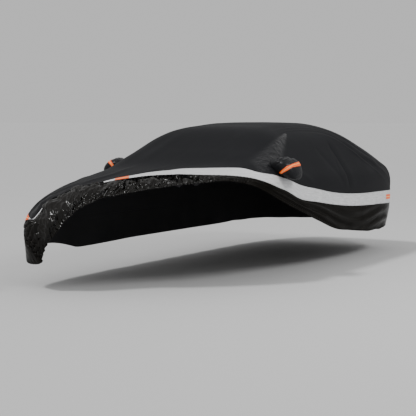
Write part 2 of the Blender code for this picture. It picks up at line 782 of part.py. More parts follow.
def triangulate(outline, holes, step):
    """Chart places and triangles of a panel, counter-clockwise on the chart."""
    loops = [outline] + list(holes)
    within = fill(outline, holes, step)
    places = np.concatenate(loops + [within])
    edges = []
    offset = 0
    for loop in loops:
        ring = np.arange(len(loop)) + offset
        edges += list(zip(ring.tolist(), np.roll(ring, -1).tolist()))
        offset += len(loop)
    result = delaunay_2d_cdt([Vector(p) for p in places.tolist()], edges, [], 1, 1e-7)
    flat = np.array([tuple(v) for v in result[0]])
    faces = np.array([tuple(face) for face in result[2]])
    middle = flat[faces].mean(axis=1)
    keep = inside(outline, middle)
    for hole in holes:
        keep &= ~inside(hole, middle)
    faces = faces[keep]
    a, b, c = (flat[faces[:, k]] for k in range(3))
    turn = (b[:, 0] - a[:, 0]) * (c[:, 1] - a[:, 1]) - (b[:, 1] - a[:, 1]) * (c[:, 0] - a[:, 0])
    faces[turn < 0.0] = faces[turn < 0.0][:, ::-1]
    return flat, faces


def panel(name, outline, holes, material, step=PANEL_STEP):
    chart, faces = triangulate(outline, holes, step)
    points, normals = on_panel(chart)
    return sew(name, points, normals, faces, material)


def seam_chart(side):
    """The roof seam as chart places from front to rear, its ends on the band's upper edge."""
    mirror = np.array([1.0 if side == "near" else -1.0, 1.0])
    knots = chart_of(ROOF_SEAM) * mirror
    front = route("top", [station_of(SEAM_FRONT_SECTION[side])])
    rear = route("top", [station_of(SEAM_REAR_SECTION[side])])
    knots = np.concatenate([front, knots[1:-1], rear])
    way = np.concatenate([[0.0], np.cumsum(np.linalg.norm(np.diff(knots, axis=0), axis=1))])
    count = int(way[-1] / SEAM_STEP)
    return SmoothTable(np.hstack([way[:, None], knots]))(np.linspace(0.0, way[-1], count + 1))


def pocket_chart(side, turn, share):
    """Chart places at a share of the way from the pocket's middle to its mouth's edge."""
    sign = 1.0 if side == "near" else -1.0
    pocket = POCKETS[side]
    middle = chart_of([pocket.middle])[0]
    power = 2.0 / pocket.squareness
    across = np.sign(np.cos(turn)) * np.abs(np.cos(turn)) ** power * pocket.half_height
    along = np.sign(np.sin(turn)) * np.abs(np.sin(turn)) ** power * pocket.half_length
    return np.stack([sign * (middle[0] + across * share), middle[1] + along * share], -1)


def pocket_turns():
    return np.linspace(0.0, 2.0 * np.pi, POCKET_SIDES, endpoint=False)


def pocket_mouth(side):
    """Chart outline of the hole for a mirror pocket, counter-clockwise on the near side."""
    return pocket_chart(side, pocket_turns(), np.ones(POCKET_SIDES))


def side_panel(side, material):
    if side == "near":
        lower = route("top", run(SEAM_REAR_SECTION[side], SEAM_FRONT_SECTION[side]))
        upper = seam_chart(side)
    else:
        lower = route("top", run(SEAM_FRONT_SECTION[side], SEAM_REAR_SECTION[side]))
        upper = seam_chart(side)[::-1]
    outline = np.concatenate([lower, upper[1:-1]])
    return panel(f"side_panel_{side}", outline, [pocket_mouth(side)], material)


def cross_join(near_seam, far_seam, along):
    """The point of each seam nearest to a place along the car, and chart places from one to the other."""
    near = np.abs(near_seam[:, 1] - along).argmin()
    far = np.abs(far_seam[:, 1] - along).argmin()
    count = int(np.linalg.norm(near_seam[near] - far_seam[far]) / SEAM_STEP)
    share = np.linspace(0.0, 1.0, count + 1)[:, None]
    return near, far, near_seam[near] * (1.0 - share) + far_seam[far] * share


def centre_panel(material):
    """Nose, bonnet, windscreen, roof, rear window and boot, between the two roof seams."""
    near_seam = seam_chart("near")
    far_seam = seam_chart("far")
    front = route("top", run("wing", "far front door"))
    rear = route("top", run("far rear corner", "near rear corner"))[::-1]
    joins = [cross_join(near_seam, far_seam, along) for along in CROSS_JOINS]
    joins = [(0, 0, front)] + joins + [(len(near_seam) - 1, len(far_seam) - 1, rear)]
    for part, start, end in zip(CENTRE_PARTS, joins, joins[1:]):
        far_side = far_seam[start[1] + 1 : end[1]]
        near_side = near_seam[start[0] + 1 : end[0]][::-1]
        outline = np.concatenate([start[2], far_side, end[2][::-1], near_side])
        panel(f"centre_{part}", outline, [], material)


def pocket_point(side, place):
    """Points of a mirror pocket at dome places (n, 2)."""
    sign = 1.0 if side == "near" else -1.0
    pocket = POCKETS[side]
    axis = np.array(pocket.axis) / np.linalg.norm(pocket.axis) * np.array([sign, 1.0, 1.0])
    lean = 0.5 * np.pi * np.minimum(np.hypot(place[:, 0], place[:, 1]), 1.0)
    turn = np.arctan2(place[:, 1], place[:, 0])
    spread = np.sin(2.0 * lean)
    share = POCKET_IN_HOLE * np.sin(lean) ** BLUNTNESS + (pocket.swell - 1.0) * spread
    base, normals = on_panel(pocket_chart(side, turn, share))
    out = np.maximum(np.cos(lean), 0.0)[:, None] ** BLUNTNESS * pocket.depth
    drop = pocket.sag * spread * np.maximum(np.cos(turn), 0.0)
    return base + normals * POCKET_NECK + axis * out - np.array([0.0, 0.0, 1.0]) * drop[:, None]


def pocket_surface(side, place):
    """Points and unit normals of a mirror pocket."""
    tiny = 1e-3
    within = place * np.minimum(1.0, (1.0 - 2.0 * tiny) / np.maximum(np.hypot(*place.T), tiny))[:, None]
    down, rear = np.array([tiny, 0.0]), np.array([0.0, tiny])
    down_way = pocket_point(side, within + down) - pocket_point(side, within - down)
    rear_way = pocket_point(side, within + rear) - pocket_point(side, within - rear)
    normals = np.cross(down_way, rear_way) * (1.0 if side == "near" else -1.0)
    return pocket_point(side, place), normals / np.linalg.norm(normals, axis=1, keepdims=True)


def tape_outline(side):
    """The two edges of a pocket's tape as dome places (n, 2) each."""
    middle = np.array(TAPE_LINES[side])
    heading = np.gradient(middle, axis=0)
    heading /= np.linalg.norm(heading, axis=1, keepdims=True)
    aside = np.stack([-heading[:, 1], heading[:, 0]], -1)
    half = 0.5 * TAPE_WIDTH / DOME_SCALE * np.maximum(np.hypot(*middle.T), NARROWEST_TAPE)[:, None]
    return middle - aside * half, middle + aside * half


def dome_mesh(side):
    """Dome places and faces of a pocket, with mesh lines along the tape, and which faces the tape has."""
    turns = pocket_turns()
    rim = np.stack([np.cos(turns), np.sin(turns)], -1)
    left, right = tape_outline(side)
    strip_edge = np.concatenate([left, right[::-1]])
    grid_way = np.arange(-4, 5) * POCKET_STEP
    x, y = np.meshgrid(grid_way, grid_way * LATTICE_ROW)
    x = x + 0.5 * POCKET_STEP * (np.arange(len(grid_way))[:, None] % 2)
    grid = np.stack([x.reshape(-1), y.reshape(-1)], -1)
    known = np.concatenate([rim, strip_edge, np.array(TAPE_LINES[side])])
    gaps = np.linalg.norm(grid[:, None] - known[None], axis=-1).min(axis=1)
    grid = grid[(np.hypot(*grid.T) < 0.88) & (gaps > 0.55 * POCKET_STEP)]
    places = np.concatenate([rim, strip_edge, grid])
    edges = []
    for first, count in ((0, len(rim)), (len(rim), len(strip_edge))):
        ring = np.arange(count) + first
        edges += list(zip(ring.tolist(), np.roll(ring, -1).tolist()))
    result = delaunay_2d_cdt([Vector(p) for p in places.tolist()], edges, [], 1, 1e-7)
    flat = np.array([tuple(v) for v in result[0]])
    faces = np.array([tuple(face) for face in result[2]])
    a, b, c = (flat[faces[:, k]] for k in range(3))
    turn = (b[:, 0] - a[:, 0]) * (c[:, 1] - a[:, 1]) - (b[:, 1] - a[:, 1]) * (c[:, 0] - a[:, 0])
    faces[turn < 0.0] = faces[turn < 0.0][:, ::-1]
    return flat, faces, inside(strip_edge, flat[faces].mean(axis=1))


def mirror_pocket(side, material):
    """The dome and, at its mouth, a short neck that reaches through the panel's thickness."""
    places, faces, _ = dome_mesh(side)
    points, normals = pocket_surface(side, places)
    rim = np.arange(POCKET_SIDES)
    through = on_panel(pocket_chart(side, pocket_turns(), np.full(POCKET_SIDES, POCKET_IN_HOLE)))[1]
    neck = points[rim] - through * (CLOTH + POCKET_NECK)
    along_rim = np.roll(neck, -1, axis=0) - np.roll(neck, 1, axis=0)
    sideways = np.cross(along_rim, through) * (1.0 if side == "near" else -1.0)
    sideways /= np.linalg.norm(sideways, axis=1, keepdims=True)
    normals[rim] = sideways
    after = np.roll(rim, -1)
    low = rim + len(points)
    low_after = after + len(points)
    wall = [np.stack([rim, low, low_after], 1), np.stack([rim, low_after, after], 1)]
    faces = np.concatenate([faces] + wall)
    faces = faces if side == "near" else faces[:, ::-1]
    points = np.vstack([points, neck])
    normals = np.vstack([normals, sideways])
    return sew(f"mirror_pocket_{side}", points, normals, faces, material)


def pocket_tape(side, material):
    """The tape over the pocket's front, on the mesh faces that the pocket keeps for it."""
    places, faces, taped = dome_mesh(side)
    points, normals = pocket_surface(side, places)
    faces = faces[taped] if side == "near" else faces[taped][:, ::-1]
    return sew(f"mirror_tape_{side}", points, normals, faces, material, TAPE, TAPE + JOIN)


# ---------------------------------------------------------------- the whole cover
def finish(name, colour, roughness, metallic=0.0):
    material = bpy.data.materials.new(name)
    material.use_nodes = True
    shader = material.node_tree.nodes["Principled BSDF"]
    shader.inputs["Base Color"].default_value = (*colour, 1.0)
    shader.inputs["Roughness"].default_value = roughness
    shader.inputs["Metallic"].default_value = metallic
    return material


def clear_scene():
    for old in list(bpy.data.objects):
        bpy.data.objects.remove(old)


def held_point():
    """Where the cover is held: on the inner face of the cloth, in the middle of the roof."""
    return on_form(np.array([[0.0, HELD_AT_Y]]))[0] - np.array([0.0, 0.0, CLOTH])


ORIGIN = held_point()


def main():
    clear_scene()
    shell = finish("shell_fabric", (0.018, 0.018, 0.020), 0.62)
    glossy = finish("skirt_fabric", (0.010, 0.010, 0.011), 0.30)
    silver = finish("band_reflective", (0.60, 0.60, 0.62), 0.45, 0.3)
    orange = finish("tape_orange", (0.85, 0.22, 0.03), 0.45)

    centre_panel(shell)
    side_panel("near", shell)
    side_panel("far", shell)
    mirror_pocket("near", shell)
    mirror_pocket("far", shell)
    pocket_tape("near", orange)
    pocket_tape("far", orange)

    band("band_near", run("near rear corner", "band's tip"), silver)
    band("band_far", run("band comes out", "far rear corner"), silver)
    band("band_rear", run("far rear corner", "near rear corner"), silver)
    rear_near = run("near rear corner", "near rear turn")
    rear_far = run("far, behind wheel", "far rear corner")[-3:]
    front_far = run("far front corner", "skirt's corner")[1:6]
    band_tape("band_tape_near_rear", rear_near, orange)
    band_tape("band_tape_far_rear", rear_far, orange)
    band_tape("band_tape_far_front", front_far, orange, BAND_SHARES)
    band_tape("band_tape_near_front", run("tape, start", "tape, end"), orange, BAND_SHARES)

    skirt("skirt_near", run("near rear corner", "wing"), glossy)
    skirt("skirt_front", run("wing", "skirt's corner"), glossy)
    skirt("skirt_far", run("skirt's corner", "far rear corner"), glossy)
    skirt("skirt_rear", run("far rear corner", "near rear corner"), glossy)


main()
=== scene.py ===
"""Looks of a fitted cover, drawn back from one front corner.

The cover is a form with cloth laid over it. The form is one smooth body, the cloth is cut along
three lines that run round it (hem, band's lower edge, band's upper edge) and two roof seams, and
each piece is a grid of points on the form, lifted by its own folds.

Building frame: x to the near side, y to the tail, z up, ground at z = 0, mid-length at y = 0.
Every finished mesh is moved so that the origin is under the roof, where the cover is held.
"""

import logging
from dataclasses import dataclass
from enum import Enum
from typing import Callable, NamedTuple

import bpy
import numpy as np
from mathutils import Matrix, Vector
from numpy.typing import NDArray


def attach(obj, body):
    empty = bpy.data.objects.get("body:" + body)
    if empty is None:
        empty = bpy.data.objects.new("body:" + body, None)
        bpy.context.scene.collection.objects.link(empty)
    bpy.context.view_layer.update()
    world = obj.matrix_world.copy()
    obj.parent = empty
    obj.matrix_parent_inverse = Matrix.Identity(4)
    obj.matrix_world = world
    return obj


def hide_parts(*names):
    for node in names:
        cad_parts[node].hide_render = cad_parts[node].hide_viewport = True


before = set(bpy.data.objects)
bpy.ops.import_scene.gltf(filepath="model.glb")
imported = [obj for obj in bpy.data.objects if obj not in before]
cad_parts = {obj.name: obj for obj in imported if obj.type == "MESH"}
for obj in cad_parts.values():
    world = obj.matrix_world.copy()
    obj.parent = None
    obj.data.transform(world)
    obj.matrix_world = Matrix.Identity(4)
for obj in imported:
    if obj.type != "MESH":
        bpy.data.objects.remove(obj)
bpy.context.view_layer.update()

Array = NDArray[np.float64]
log = logging.getLogger("car_cover")

BODY = "root"
ORIGIN = np.array([0.0, 0.35, 1.469])  # the held point, on the inner face of the roof's cloth
FLOOR = -1.469  # height of the ground below the held point
CLOTH = 0.002  # thickness of a sheet as it is shown
TAPE = 0.0009  # thickness of a tape
CRISP = 58.0  # degrees between two faces from which the edge between them shows crisp


# ---------------------------------------------------------------- curves and relief
class SmoothTable:
    """A smooth curve through the rows of a table, first column against the others."""

    def __init__(self, rows: "tuple | Array") -> None:
        """Works out a slope at each row, limited so that the curve never overshoots.

        Args:
            rows: Table rows, each a number to look up and the values that belong to it.
        """
        table = np.array(rows, float)
        self.x = table[:, 0]
        self.y = table[:, 1:]
        steps = np.diff(self.x)[:, None]
        rise = np.diff(self.y, axis=0) / steps
        slope = np.empty_like(self.y)
        slope[0] = rise[0]
        slope[-1] = rise[-1]
        mean = (rise[:-1] * steps[1:] + rise[1:] * steps[:-1]) / (steps[:-1] + steps[1:])
        most = 3.0 * np.minimum(np.abs(rise[:-1]), np.abs(rise[1:]))
        limited = np.sign(mean) * np.minimum(np.abs(mean), most)
        slope[1:-1] = np.where(rise[:-1] * rise[1:] > 0.0, limited, 0.0)
        self.slope = slope

    def __call__(self, at: Array) -> Array:
        """Cubic between two rows: each end's value and slope, blended.

        Args:
            at: Places to look up, any shape.

        Returns:
            Values there, with one more axis unless the table has a single value column.
        """
        at = np.clip(np.asarray(at, float), self.x[0], self.x[-1])
        i = np.clip(np.searchsorted(self.x, at) - 1, 0, len(self.x) - 2)
        span = (self.x[i + 1] - self.x[i])[..., None]
        t = (at - self.x[i])[..., None] / span
        start = (2 * t**3 - 3 * t**2 + 1) * self.y[i] + (t**3 - 2 * t**2 + t) * span * self.slope[i]
        end = (3 * t**2 - 2 * t**3) * self.y[i + 1] + (t**3 - t**2) * span * self.slope[i + 1]
        return np.squeeze(start + end, -1) if self.y.shape[1] == 1 else start + end


def smoothstep(low: float, high: float, x: Array) -> Array:
    """0 at low, 1 at high, with no corner at either end."""
    t = np.clip((x - low) / (high - low), 0.0, 1.0)
    return t * t * (3.0 - 2.0 * t)


class Relief:
    """Seeded random relief: gradient noise on a square lattice, and crumples made from it."""

    LATTICE = 256

    def __init__(self, seed: int) -> None:
        """Gives each lattice point a random direction.

        Args:
            seed: Seed of the generator, so that every run gives the same relief.
        """
        turns = np.random.default_rng(seed).uniform(0.0, 2.0 * np.pi, (self.LATTICE, self.LATTICE))
        self.slope = np.stack([np.cos(turns), np.sin(turns)], -1)

    def soft(self, x: Array, y: Array) -> Array:
        """Rolling relief: the four nearest lattice slopes, blended, about -0.7 to 0.7, period 1.

        Args:
            x: Places one way, in lattice steps.
            y: Places the other way.

        Returns:
            Heights, in the shape of both together.
        """
        x, y = np.broadcast_arrays(x, y)
        column, row = np.floor(x).astype(int), np.floor(y).astype(int)
        tx, ty = x - column, y - row
        ease_x = tx**3 * (tx * (6.0 * tx - 15.0) + 10.0)
        ease_y = ty**3 * (ty * (6.0 * ty - 15.0) + 10.0)
        total = np.zeros_like(tx)
        for step_x, weight_x in ((0, 1.0 - ease_x), (1, ease_x)):
            for step_y, weight_y in ((0, 1.0 - ease_y), (1, ease_y)):
                slope = self.slope[(column + step_x) % self.LATTICE, (row + step_y) % self.LATTICE]
                dot = slope[..., 0] * (tx - step_x) + slope[..., 1] * (ty - step_y)
                total += weight_x * weight_y * dot
        return total

    def crumpled(self, x: Array, y: Array, octaves: int = 3) -> Array:
        """Sharp ridges between flat facets, 0 to 1: one minus the size of soft relief, in octaves.

        Args:
            x: Places one way, in lattice steps.
            y: Places the other way.
            octaves: How many layers are added, each half as high and twice as fine.

        Returns:
            Heights, in the shape of both together.
        """
        total = np.zeros(np.broadcast(x, y).shape)
        weight_sum = 0.0
        for octave in range(octaves):
            scale = 2.03**octave
            weight = 0.5**octave
            bend = 0.35 * self.soft(x * scale + 17.3, y * scale + 5.1)
            facet = 1.0 - np.abs(2.4 * self.soft(x * scale + bend, y * scale - bend + 31.7 * octave))
            total += weight * np.clip(facet, -0.2, 1.0)
            weight_sum += weight
        return total / weight_sum


# ---------------------------------------------------------------- the form that the cloth hangs on
# Along the middle of the top: y and height.
TOP_LINE = (
    (-2.60, 0.620), (-2.45, 0.763), (-2.30, 0.830), (-1.90, 0.930), (-1.40, 1.020), (-1.10, 1.077),
    (-0.80, 1.206), (-0.35, 1.406), (0.00, 1.450), (0.35, 1.472), (0.70, 1.472), (1.10, 1.440),
    (1.60, 1.297), (2.00, 1.168), (2.35, 1.102), (2.60, 1.055),
)
# Height and half width.
GIRTHS = (
    (0.10, 0.905), (0.30, 0.945), (0.55, 0.979), (0.75, 0.983), (0.92, 0.962), (1.05, 0.889),
    (1.20, 0.795), (1.35, 0.690), (1.45, 0.579), (1.70, 0.300),
)
# Height and how far the cover reaches, forwards and back.
NOSE = ((0.10, 2.430), (0.30, 2.500), (0.50, 2.510), (0.70, 2.485), (0.85, 2.395), (1.00, 2.240))
TAIL = ((0.10, 2.370), (0.30, 2.455), (0.50, 2.530), (0.75, 2.525), (0.95, 2.480), (1.10, 2.408),
        (1.20, 2.300))


@dataclass(frozen=True)
class Form:
    """The smooth body that the cloth hangs on, and the flat chart laid over it."""

    foot_height: float = 0.5  # the line inside that every part of the cover faces
    foot_front: float = -1.45
    foot_rear: float = 1.55
    corner_front: float = 5.4  # squareness of the plan's corners, 2 would be an ellipse
    corner_rear: float = 5.1
    rounding: float = 0.223  # softness of the shoulder between top and sides
    camber: float = 0.048  # drop of the top from the middle to camber_span
    camber_span: float = 0.9
    slack: float = 0.034  # extra width at the hem round the far front corner
    slack_heights: tuple = (0.20, 1.05)  # it fades out from the first to the second
    slack_side: tuple = (-2.15, 0.45)  # along the side: y of its middle, and its spread
    slack_nose: tuple = (-0.85, 0.30)  # along the nose: x of its middle, and its spread
    slack_full_at: float = 0.5  # distance from the middle line where it has its full width
    farthest: float = 3.0  # longer than any ray from the foot line to the form
    halvings: int = 34
    top_line: SmoothTable = SmoothTable(TOP_LINE)
    girth: SmoothTable = SmoothTable(GIRTHS)
    nose: SmoothTable = SmoothTable(NOSE)
    tail: SmoothTable = SmoothTable(TAIL)

    def beyond(self, points: Array) -> Array:
        """How far points lie outside the form, roughly in metres.

        Sides: a square-cornered oval plan whose half sizes change with height. Top: the middle
        line, cambered across. The two blend over the rounding.

        Args:
            points: Points, (n, 3).

        Returns:
            Distances, (n,), negative inside.
        """
        x, y, z = points[..., 0], points[..., 1], points[..., 2]
        low = 1.0 - smoothstep(*self.slack_heights, z)
        (side_y, side_spread), (nose_x, nose_spread) = self.slack_side, self.slack_nose
        loose_side = np.exp(-(((y - side_y) / side_spread) ** 2))
        loose_side = loose_side * np.clip(-x / self.slack_full_at, 0.0, 1.0) * low
        loose_nose = np.exp(-(((x - nose_x) / nose_spread) ** 2)) * (y < 0.0) * low
        half_width = self.girth(z) + self.slack * loose_side
        length = np.where(y < 0.0, self.nose(z) + self.slack * loose_nose, self.tail(z))
        corner = np.where(y < 0.0, self.corner_front, self.corner_rear)
        plan = (np.abs(x / half_width) ** corner + np.abs(y / length) ** corner) ** (1.0 / corner)
        side = (plan - 1.0) * half_width
        top = z - (self.top_line(y) - self.camber * (x / self.camber_span) ** 2)
        share = np.clip(0.5 + 0.5 * (side - top) / self.rounding, 0.0, 1.0)
        return side * share + top * (1.0 - share) + self.rounding * share * (1.0 - share)

    def foot(self, y: Array) -> Array:
        """The point of the foot line that each place along the cover faces."""
        along = np.clip(y, self.foot_front, self.foot_rear)
        return np.stack([np.zeros_like(y), along, np.full_like(y, self.foot_height)], -1)

    def on(self, chart: Array) -> Array:
        """Chart places to points on the form, by halving the ray from the foot line.

        Args:
            chart: Places, (n, 2): across, the angle from straight up; along, metres beside the
                foot line and angle again past its ends.

        Returns:
            Points, (n, 3).
        """
        across = chart[:, 0]
        origin = self.foot(chart[:, 1])
        along = chart[:, 1] - origin[:, 1]
        angle = np.hypot(across, along)
        spread = np.sinc(angle / np.pi)
        heading = np.stack([across * spread, along * spread, np.cos(angle)], -1)
        near = np.zeros(len(chart))
        far = np.full(len(chart), self.farthest)
        for _ in range(self.halvings):
            middle = 0.5 * (near + far)
            inside = self.beyond(origin + heading * middle[:, None]) < 0.0
            near = np.where(inside, middle, near)
            far = np.where(inside, far, middle)
        return origin + heading * near[:, None]

    def chart(self, points: Array) -> Array:
        """Points near the form, (n, 3), to their chart places, (n, 2).

        Args:
            points: Points, (n, 3).

        Returns:
            Chart places, (n, 2).
        """
        points = np.asarray(points, float)
        away = points - self.foot(points[:, 1])
        flat = np.hypot(away[:, 0], away[:, 1])
        share = np.arctan2(flat, away[:, 2]) / np.maximum(flat, 1e-9)
        return np.stack([away[:, 0] * share, self.foot(points[:, 1])[:, 1] + away[:, 1] * share], -1)

    def outward(self, points: Array) -> Array:
        """Unit normals of the form at points, (n, 3): the slope of its distance.

        Args:
            points: Points, (..., 3).

        Returns:
            Normals, in the same shape.
        """
        reach = 0.001
        slope = [self.beyond(points + step) - self.beyond(points - step) for step in np.eye(3) * reach]
        normal = np.stack(slope, -1)
        return normal / np.linalg.norm(normal, axis=-1, keepdims=True)


FORM = Form()


# ---------------------------------------------------------------- the cover's edges and seams
HANG_HEM = 0.27  # heights of the hem and the band where the cover hangs free
HANG_LOW = 0.555
HANG_TOP = 0.70


class Section(NamedTuple):
    """A place round the cover: its three edge points, then how the cloth stands off the form."""

    place: str
    hem: tuple
    low: tuple
    top: tuple
    low_lift: float = 0.0
    top_lift: float = 0.0
    bulge: float = 0.0
    crumple: float = 0.0  # 1 where the skirt is crushed together


def hanging(place: str, x: float, y: float) -> Section:
    """A section where the skirt hangs straight down."""
    return Section(place, (x, y, HANG_HEM), (x, y, HANG_LOW), (x, y, HANG_TOP))


SECTIONS = (
    hanging("tail, middle", 0.0, 2.50),
    hanging("tail, near half", 0.55, 2.48),
    Section("near rear corner", (0.83, 2.15, 0.264), (0.88, 2.20, 0.540), (0.88, 2.20, 0.689)),
    Section("near rear turn", (0.88, 1.91, 0.268), (0.93, 1.90, 0.551), (0.93, 1.89, 0.695)),
    Section("behind rear wheel", (0.90, 1.75, 0.264), (0.95, 1.73, 0.559), (0.95, 1.72, 0.699)),
    Section("rear quarter", (0.92, 1.52, 0.275), (0.96, 1.57, 0.565), (0.97, 1.55, 0.704)),
    Section("rear wheel", (0.94, 1.19, 0.295), (0.97, 1.19, 0.576), (0.98, 1.18, 0.709)),
    Section("rear door", (0.95, 0.83, 0.334), (0.98, 0.75, 0.600), (0.98, 0.74, 0.727)),
    Section("rear door, front", (0.96, 0.43, 0.385), (0.98, 0.33, 0.641), (0.98, 0.33, 0.762)),
    Section("door post", (0.98, -0.03, 0.507), (0.98, -0.05, 0.690), (0.98, -0.02, 0.813)),
    Section("front door", (0.98, -0.45, 0.630), (0.98, -0.43, 0.743), (0.97, -0.42, 0.874)),
    Section("below mirror", (0.98, -0.80, 0.735), (0.97, -0.72, 0.833), (0.94, -0.66, 0.940)),
    Section("door hinge", (0.955, -1.10, 0.835), (0.955, -0.96, 0.895),
            (0.92, -0.85, 0.985), 0.004, 0.004, 0.0, 0.0),
    Section("wing", (0.890, -1.340, 0.925), (0.862, -1.200, 0.965),
            (0.825, -1.05, 1.018), 0.012, 0.010, 0.0, 0.3),
    Section("wing, top", (0.806, -1.458, 0.952), (0.776, -1.353, 0.980),
            (0.685, -1.110, 1.045), 0.020, 0.015, 0.0, 0.6),
    Section("bonnet, near side", (0.654, -1.664, 0.947), (0.566, -1.515, 0.980),
            (0.400, -1.236, 1.037), 0.030, 0.020, 0.0, 0.9),
    Section("bonnet, near middle", (0.439, -1.882, 0.920), (0.338, -1.649, 0.970),
            (0.186, -1.411, 1.016), 0.045, 0.030, 0.0, 1.0),
    Section("bonnet, middle", (0.260, -2.031, 0.888), (0.102, -1.773, 0.955),
            (-0.018, -1.598, 0.986), 0.045, 0.030, 0.002, 1.0),
    Section("tape, start", (0.168, -2.105, 0.864), (-0.010, -1.860, 0.936),
            (-0.098, -1.740, 0.962), 0.045, 0.032, 0.004, 1.0),
    Section("tape, end", (0.078, -2.160, 0.848), (-0.113, -1.927, 0.919),
            (-0.174, -1.845, 0.939), 0.045, 0.034, 0.006, 1.0),
    Section("band's tip", (-0.055, -2.231, 0.815), (-0.200, -1.974, 0.906),
            (-0.222, -1.950, 0.910), 0.036, 0.040, 0.010, 1.0),
    Section("tuck, start", (-0.129, -2.312, 0.769), (-0.327, -1.999, 0.895),
            (-0.273, -2.057, 0.880), 0.018, 0.050, 0.030, 1.0),
    Section("tuck", (-0.196, -2.378, 0.723), (-0.440, -2.050, 0.875),
            (-0.388, -2.095, 0.864), 0.012, 0.050, 0.040, 1.0),
    Section("tuck, ridge", (-0.229, -2.433, 0.671), (-0.446, -2.160, 0.837),
            (-0.417, -2.179, 0.831), 0.020, 0.050, 0.026, 1.0),
    Section("tuck, deepest", (-0.265, -2.463, 0.630), (-0.522, -2.197, 0.815),
            (-0.463, -2.234, 0.802), 0.008, 0.046, 0.040, 1.0),
    Section("band comes out", (-0.301, -2.493, 0.568), (-0.579, -2.299, 0.753),
            (-0.586, -2.293, 0.756), 0.020, 0.026, 0.028, 1.0),
    Section("band shows", (-0.329, -2.504, 0.531), (-0.588, -2.389, 0.686),
            (-0.596, -2.384, 0.689), 0.012, 0.014, 0.016, 1.0),
    Section("nose, far corner", (-0.360, -2.509, 0.499), (-0.626, -2.433, 0.629),
            (-0.633, -2.427, 0.633), 0.006, 0.008, 0.008, 0.9),
    Section("far front corner", (-0.431, -2.508, 0.419), (-0.677, -2.418, 0.626),
            (-0.6785, -2.416, 0.628), 0.003, 0.003, 0.003, 0.7),
    Section("round the corner", (-0.483, -2.498, 0.318), (-0.745, -2.394, 0.616),
            (-0.757, -2.366, 0.648), 0.002, 0.002, 0.002, 0.4),
    Section("skirt's corner", (-0.51, -2.49, 0.262), (-0.94, -2.08, 0.555),
            (-0.94, -2.08, 0.70), 0.0, 0.0, 0.0, 0.4),
    Section("far front wheel", (-0.80, -2.30, 0.262), (-0.96, -1.70, 0.555), (-0.96, -1.70, 0.70)),
    Section("far front door", (-0.93, -1.35, 0.265), (-0.97, -1.05, 0.555), (-0.97, -1.05, 0.70)),
    hanging("far door post", -0.97, -0.35),
    hanging("far rear door", -0.97, 0.45),
    hanging("far rear wheel", -0.96, 1.25),
    hanging("far, behind wheel", -0.95, 1.85),
    hanging("far rear corner", -0.88, 2.20),
    hanging("tail, far half", -0.55, 2.48),
)


class Edge(Enum):
    """The three lines round the cover, by their first column in the table of edges."""

    HEM = 0
    LOW = 2
    TOP = 4


class Side(Enum):
    """The two sides of the cover, by the sign of x."""

    NEAR = 1.0
    FAR = -1.0

    @property
    def label(self) -> str:
        """The side's word in the names of pieces."""
        return self.name.lower()


class Edges:
    """The lines round the cover, looked up by metres of way along the band's lower edge."""

    STAND_COLUMN = 6

    def __init__(self) -> None:
        """Puts the sections' edge points on the chart and joins them into one closed table."""
        lines = [FORM.chart([getattr(s, edge) for s in SECTIONS]) for edge in ("hem", "low", "top")]
        stands = np.array([[s.low_lift, s.top_lift, s.bulge, s.crumple] for s in SECTIONS])
        table = np.hstack([*lines, stands])
        table = np.vstack([table[-2:], table, table[:3]])
        steps = np.linalg.norm(np.diff(table[:, 2:4], axis=0), axis=1)
        way = np.concatenate([[0.0], np.cumsum(steps)])
        way -= way[2]
        self.table = SmoothTable(np.hstack([way[:, None], table]))
        self.section_way = way[2:-3]
        self.round = way[-3]

    def way(self, place: str) -> float:
        """Metres of way to a section."""
        return self.section_way[[s.place for s in SECTIONS].index(place)]

    def span(self, first: str, last: str, count: int) -> Array:
        """Ways from one section on to another, evenly spaced; past the start they go on counting.

        Args:
            first: Section where it starts.
            last: Section where it ends.
            count: How many ways.

        Returns:
            Metres of way, (count,).
        """
        start, end = self.way(first), self.way(last)
        end = end + self.round if end <= start else end
        return np.linspace(start, end, count)

    def chart(self, edge: Edge, way: Array) -> Array:
        """Chart places of an edge, with one more axis than way."""
        return self.table(np.asarray(way) % self.round)[..., edge.value : edge.value + 2]

    def stands(self, way: Array) -> Array:
        """Lift at the band's low and top edge, the skirt's bulge and its crumple: (4, ...)."""
        return np.moveaxis(self.table(np.asarray(way) % self.round)[..., self.STAND_COLUMN :], -1, 0)


EDGES = Edges()

# The roof seam on the near side, each point near the form; the far one mirrors it.
ROOF_SEAM = (
    (0.825, -1.05, 1.018), (0.783, -0.925, 1.080), (0.673, -0.558, 1.263), (0.627, -0.374, 1.337),
    (0.575, -0.066, 1.389), (0.566, 0.250, 1.401), (0.587, 0.700, 1.395), (0.649, 0.930, 1.350),
    (0.708, 1.060, 1.296), (0.831, 1.360, 1.128), (0.900, 1.700, 0.965), (0.900, 2.020, 0.780),
)
SEAM_FRONT = {Side.NEAR: "wing", Side.FAR: "far front door"}
SEAM_REAR = {Side.NEAR: "near rear corner", Side.FAR: "far rear corner"}


def roof_seam(side: Side) -> Callable[[Array], Array]:
    """The seam between the centre panel and a side panel.

    Args:
        side: Which of the two seams.

    Returns:
        A function from shares, 0 at the front and 1 at the rear, to chart places. Its ends lie
        on the band's upper edge.
    """
    knots = FORM.chart(ROOF_SEAM) * np.array([side.value, 1.0])
    front = EDGES.chart(Edge.TOP, [EDGES.way(SEAM_FRONT[side])])
    rear = EDGES.chart(Edge.TOP, [EDGES.way(SEAM_REAR[side])])
    knots = np.concatenate([front, knots[1:-1], rear])
    way = np.concatenate([[0.0], np.cumsum(np.linalg.norm(np.diff(knots, axis=0), axis=1))])
    curve = SmoothTable(np.hstack([way[:, None], knots]))
    return lambda share: curve(np.asarray(share) * way[-1])


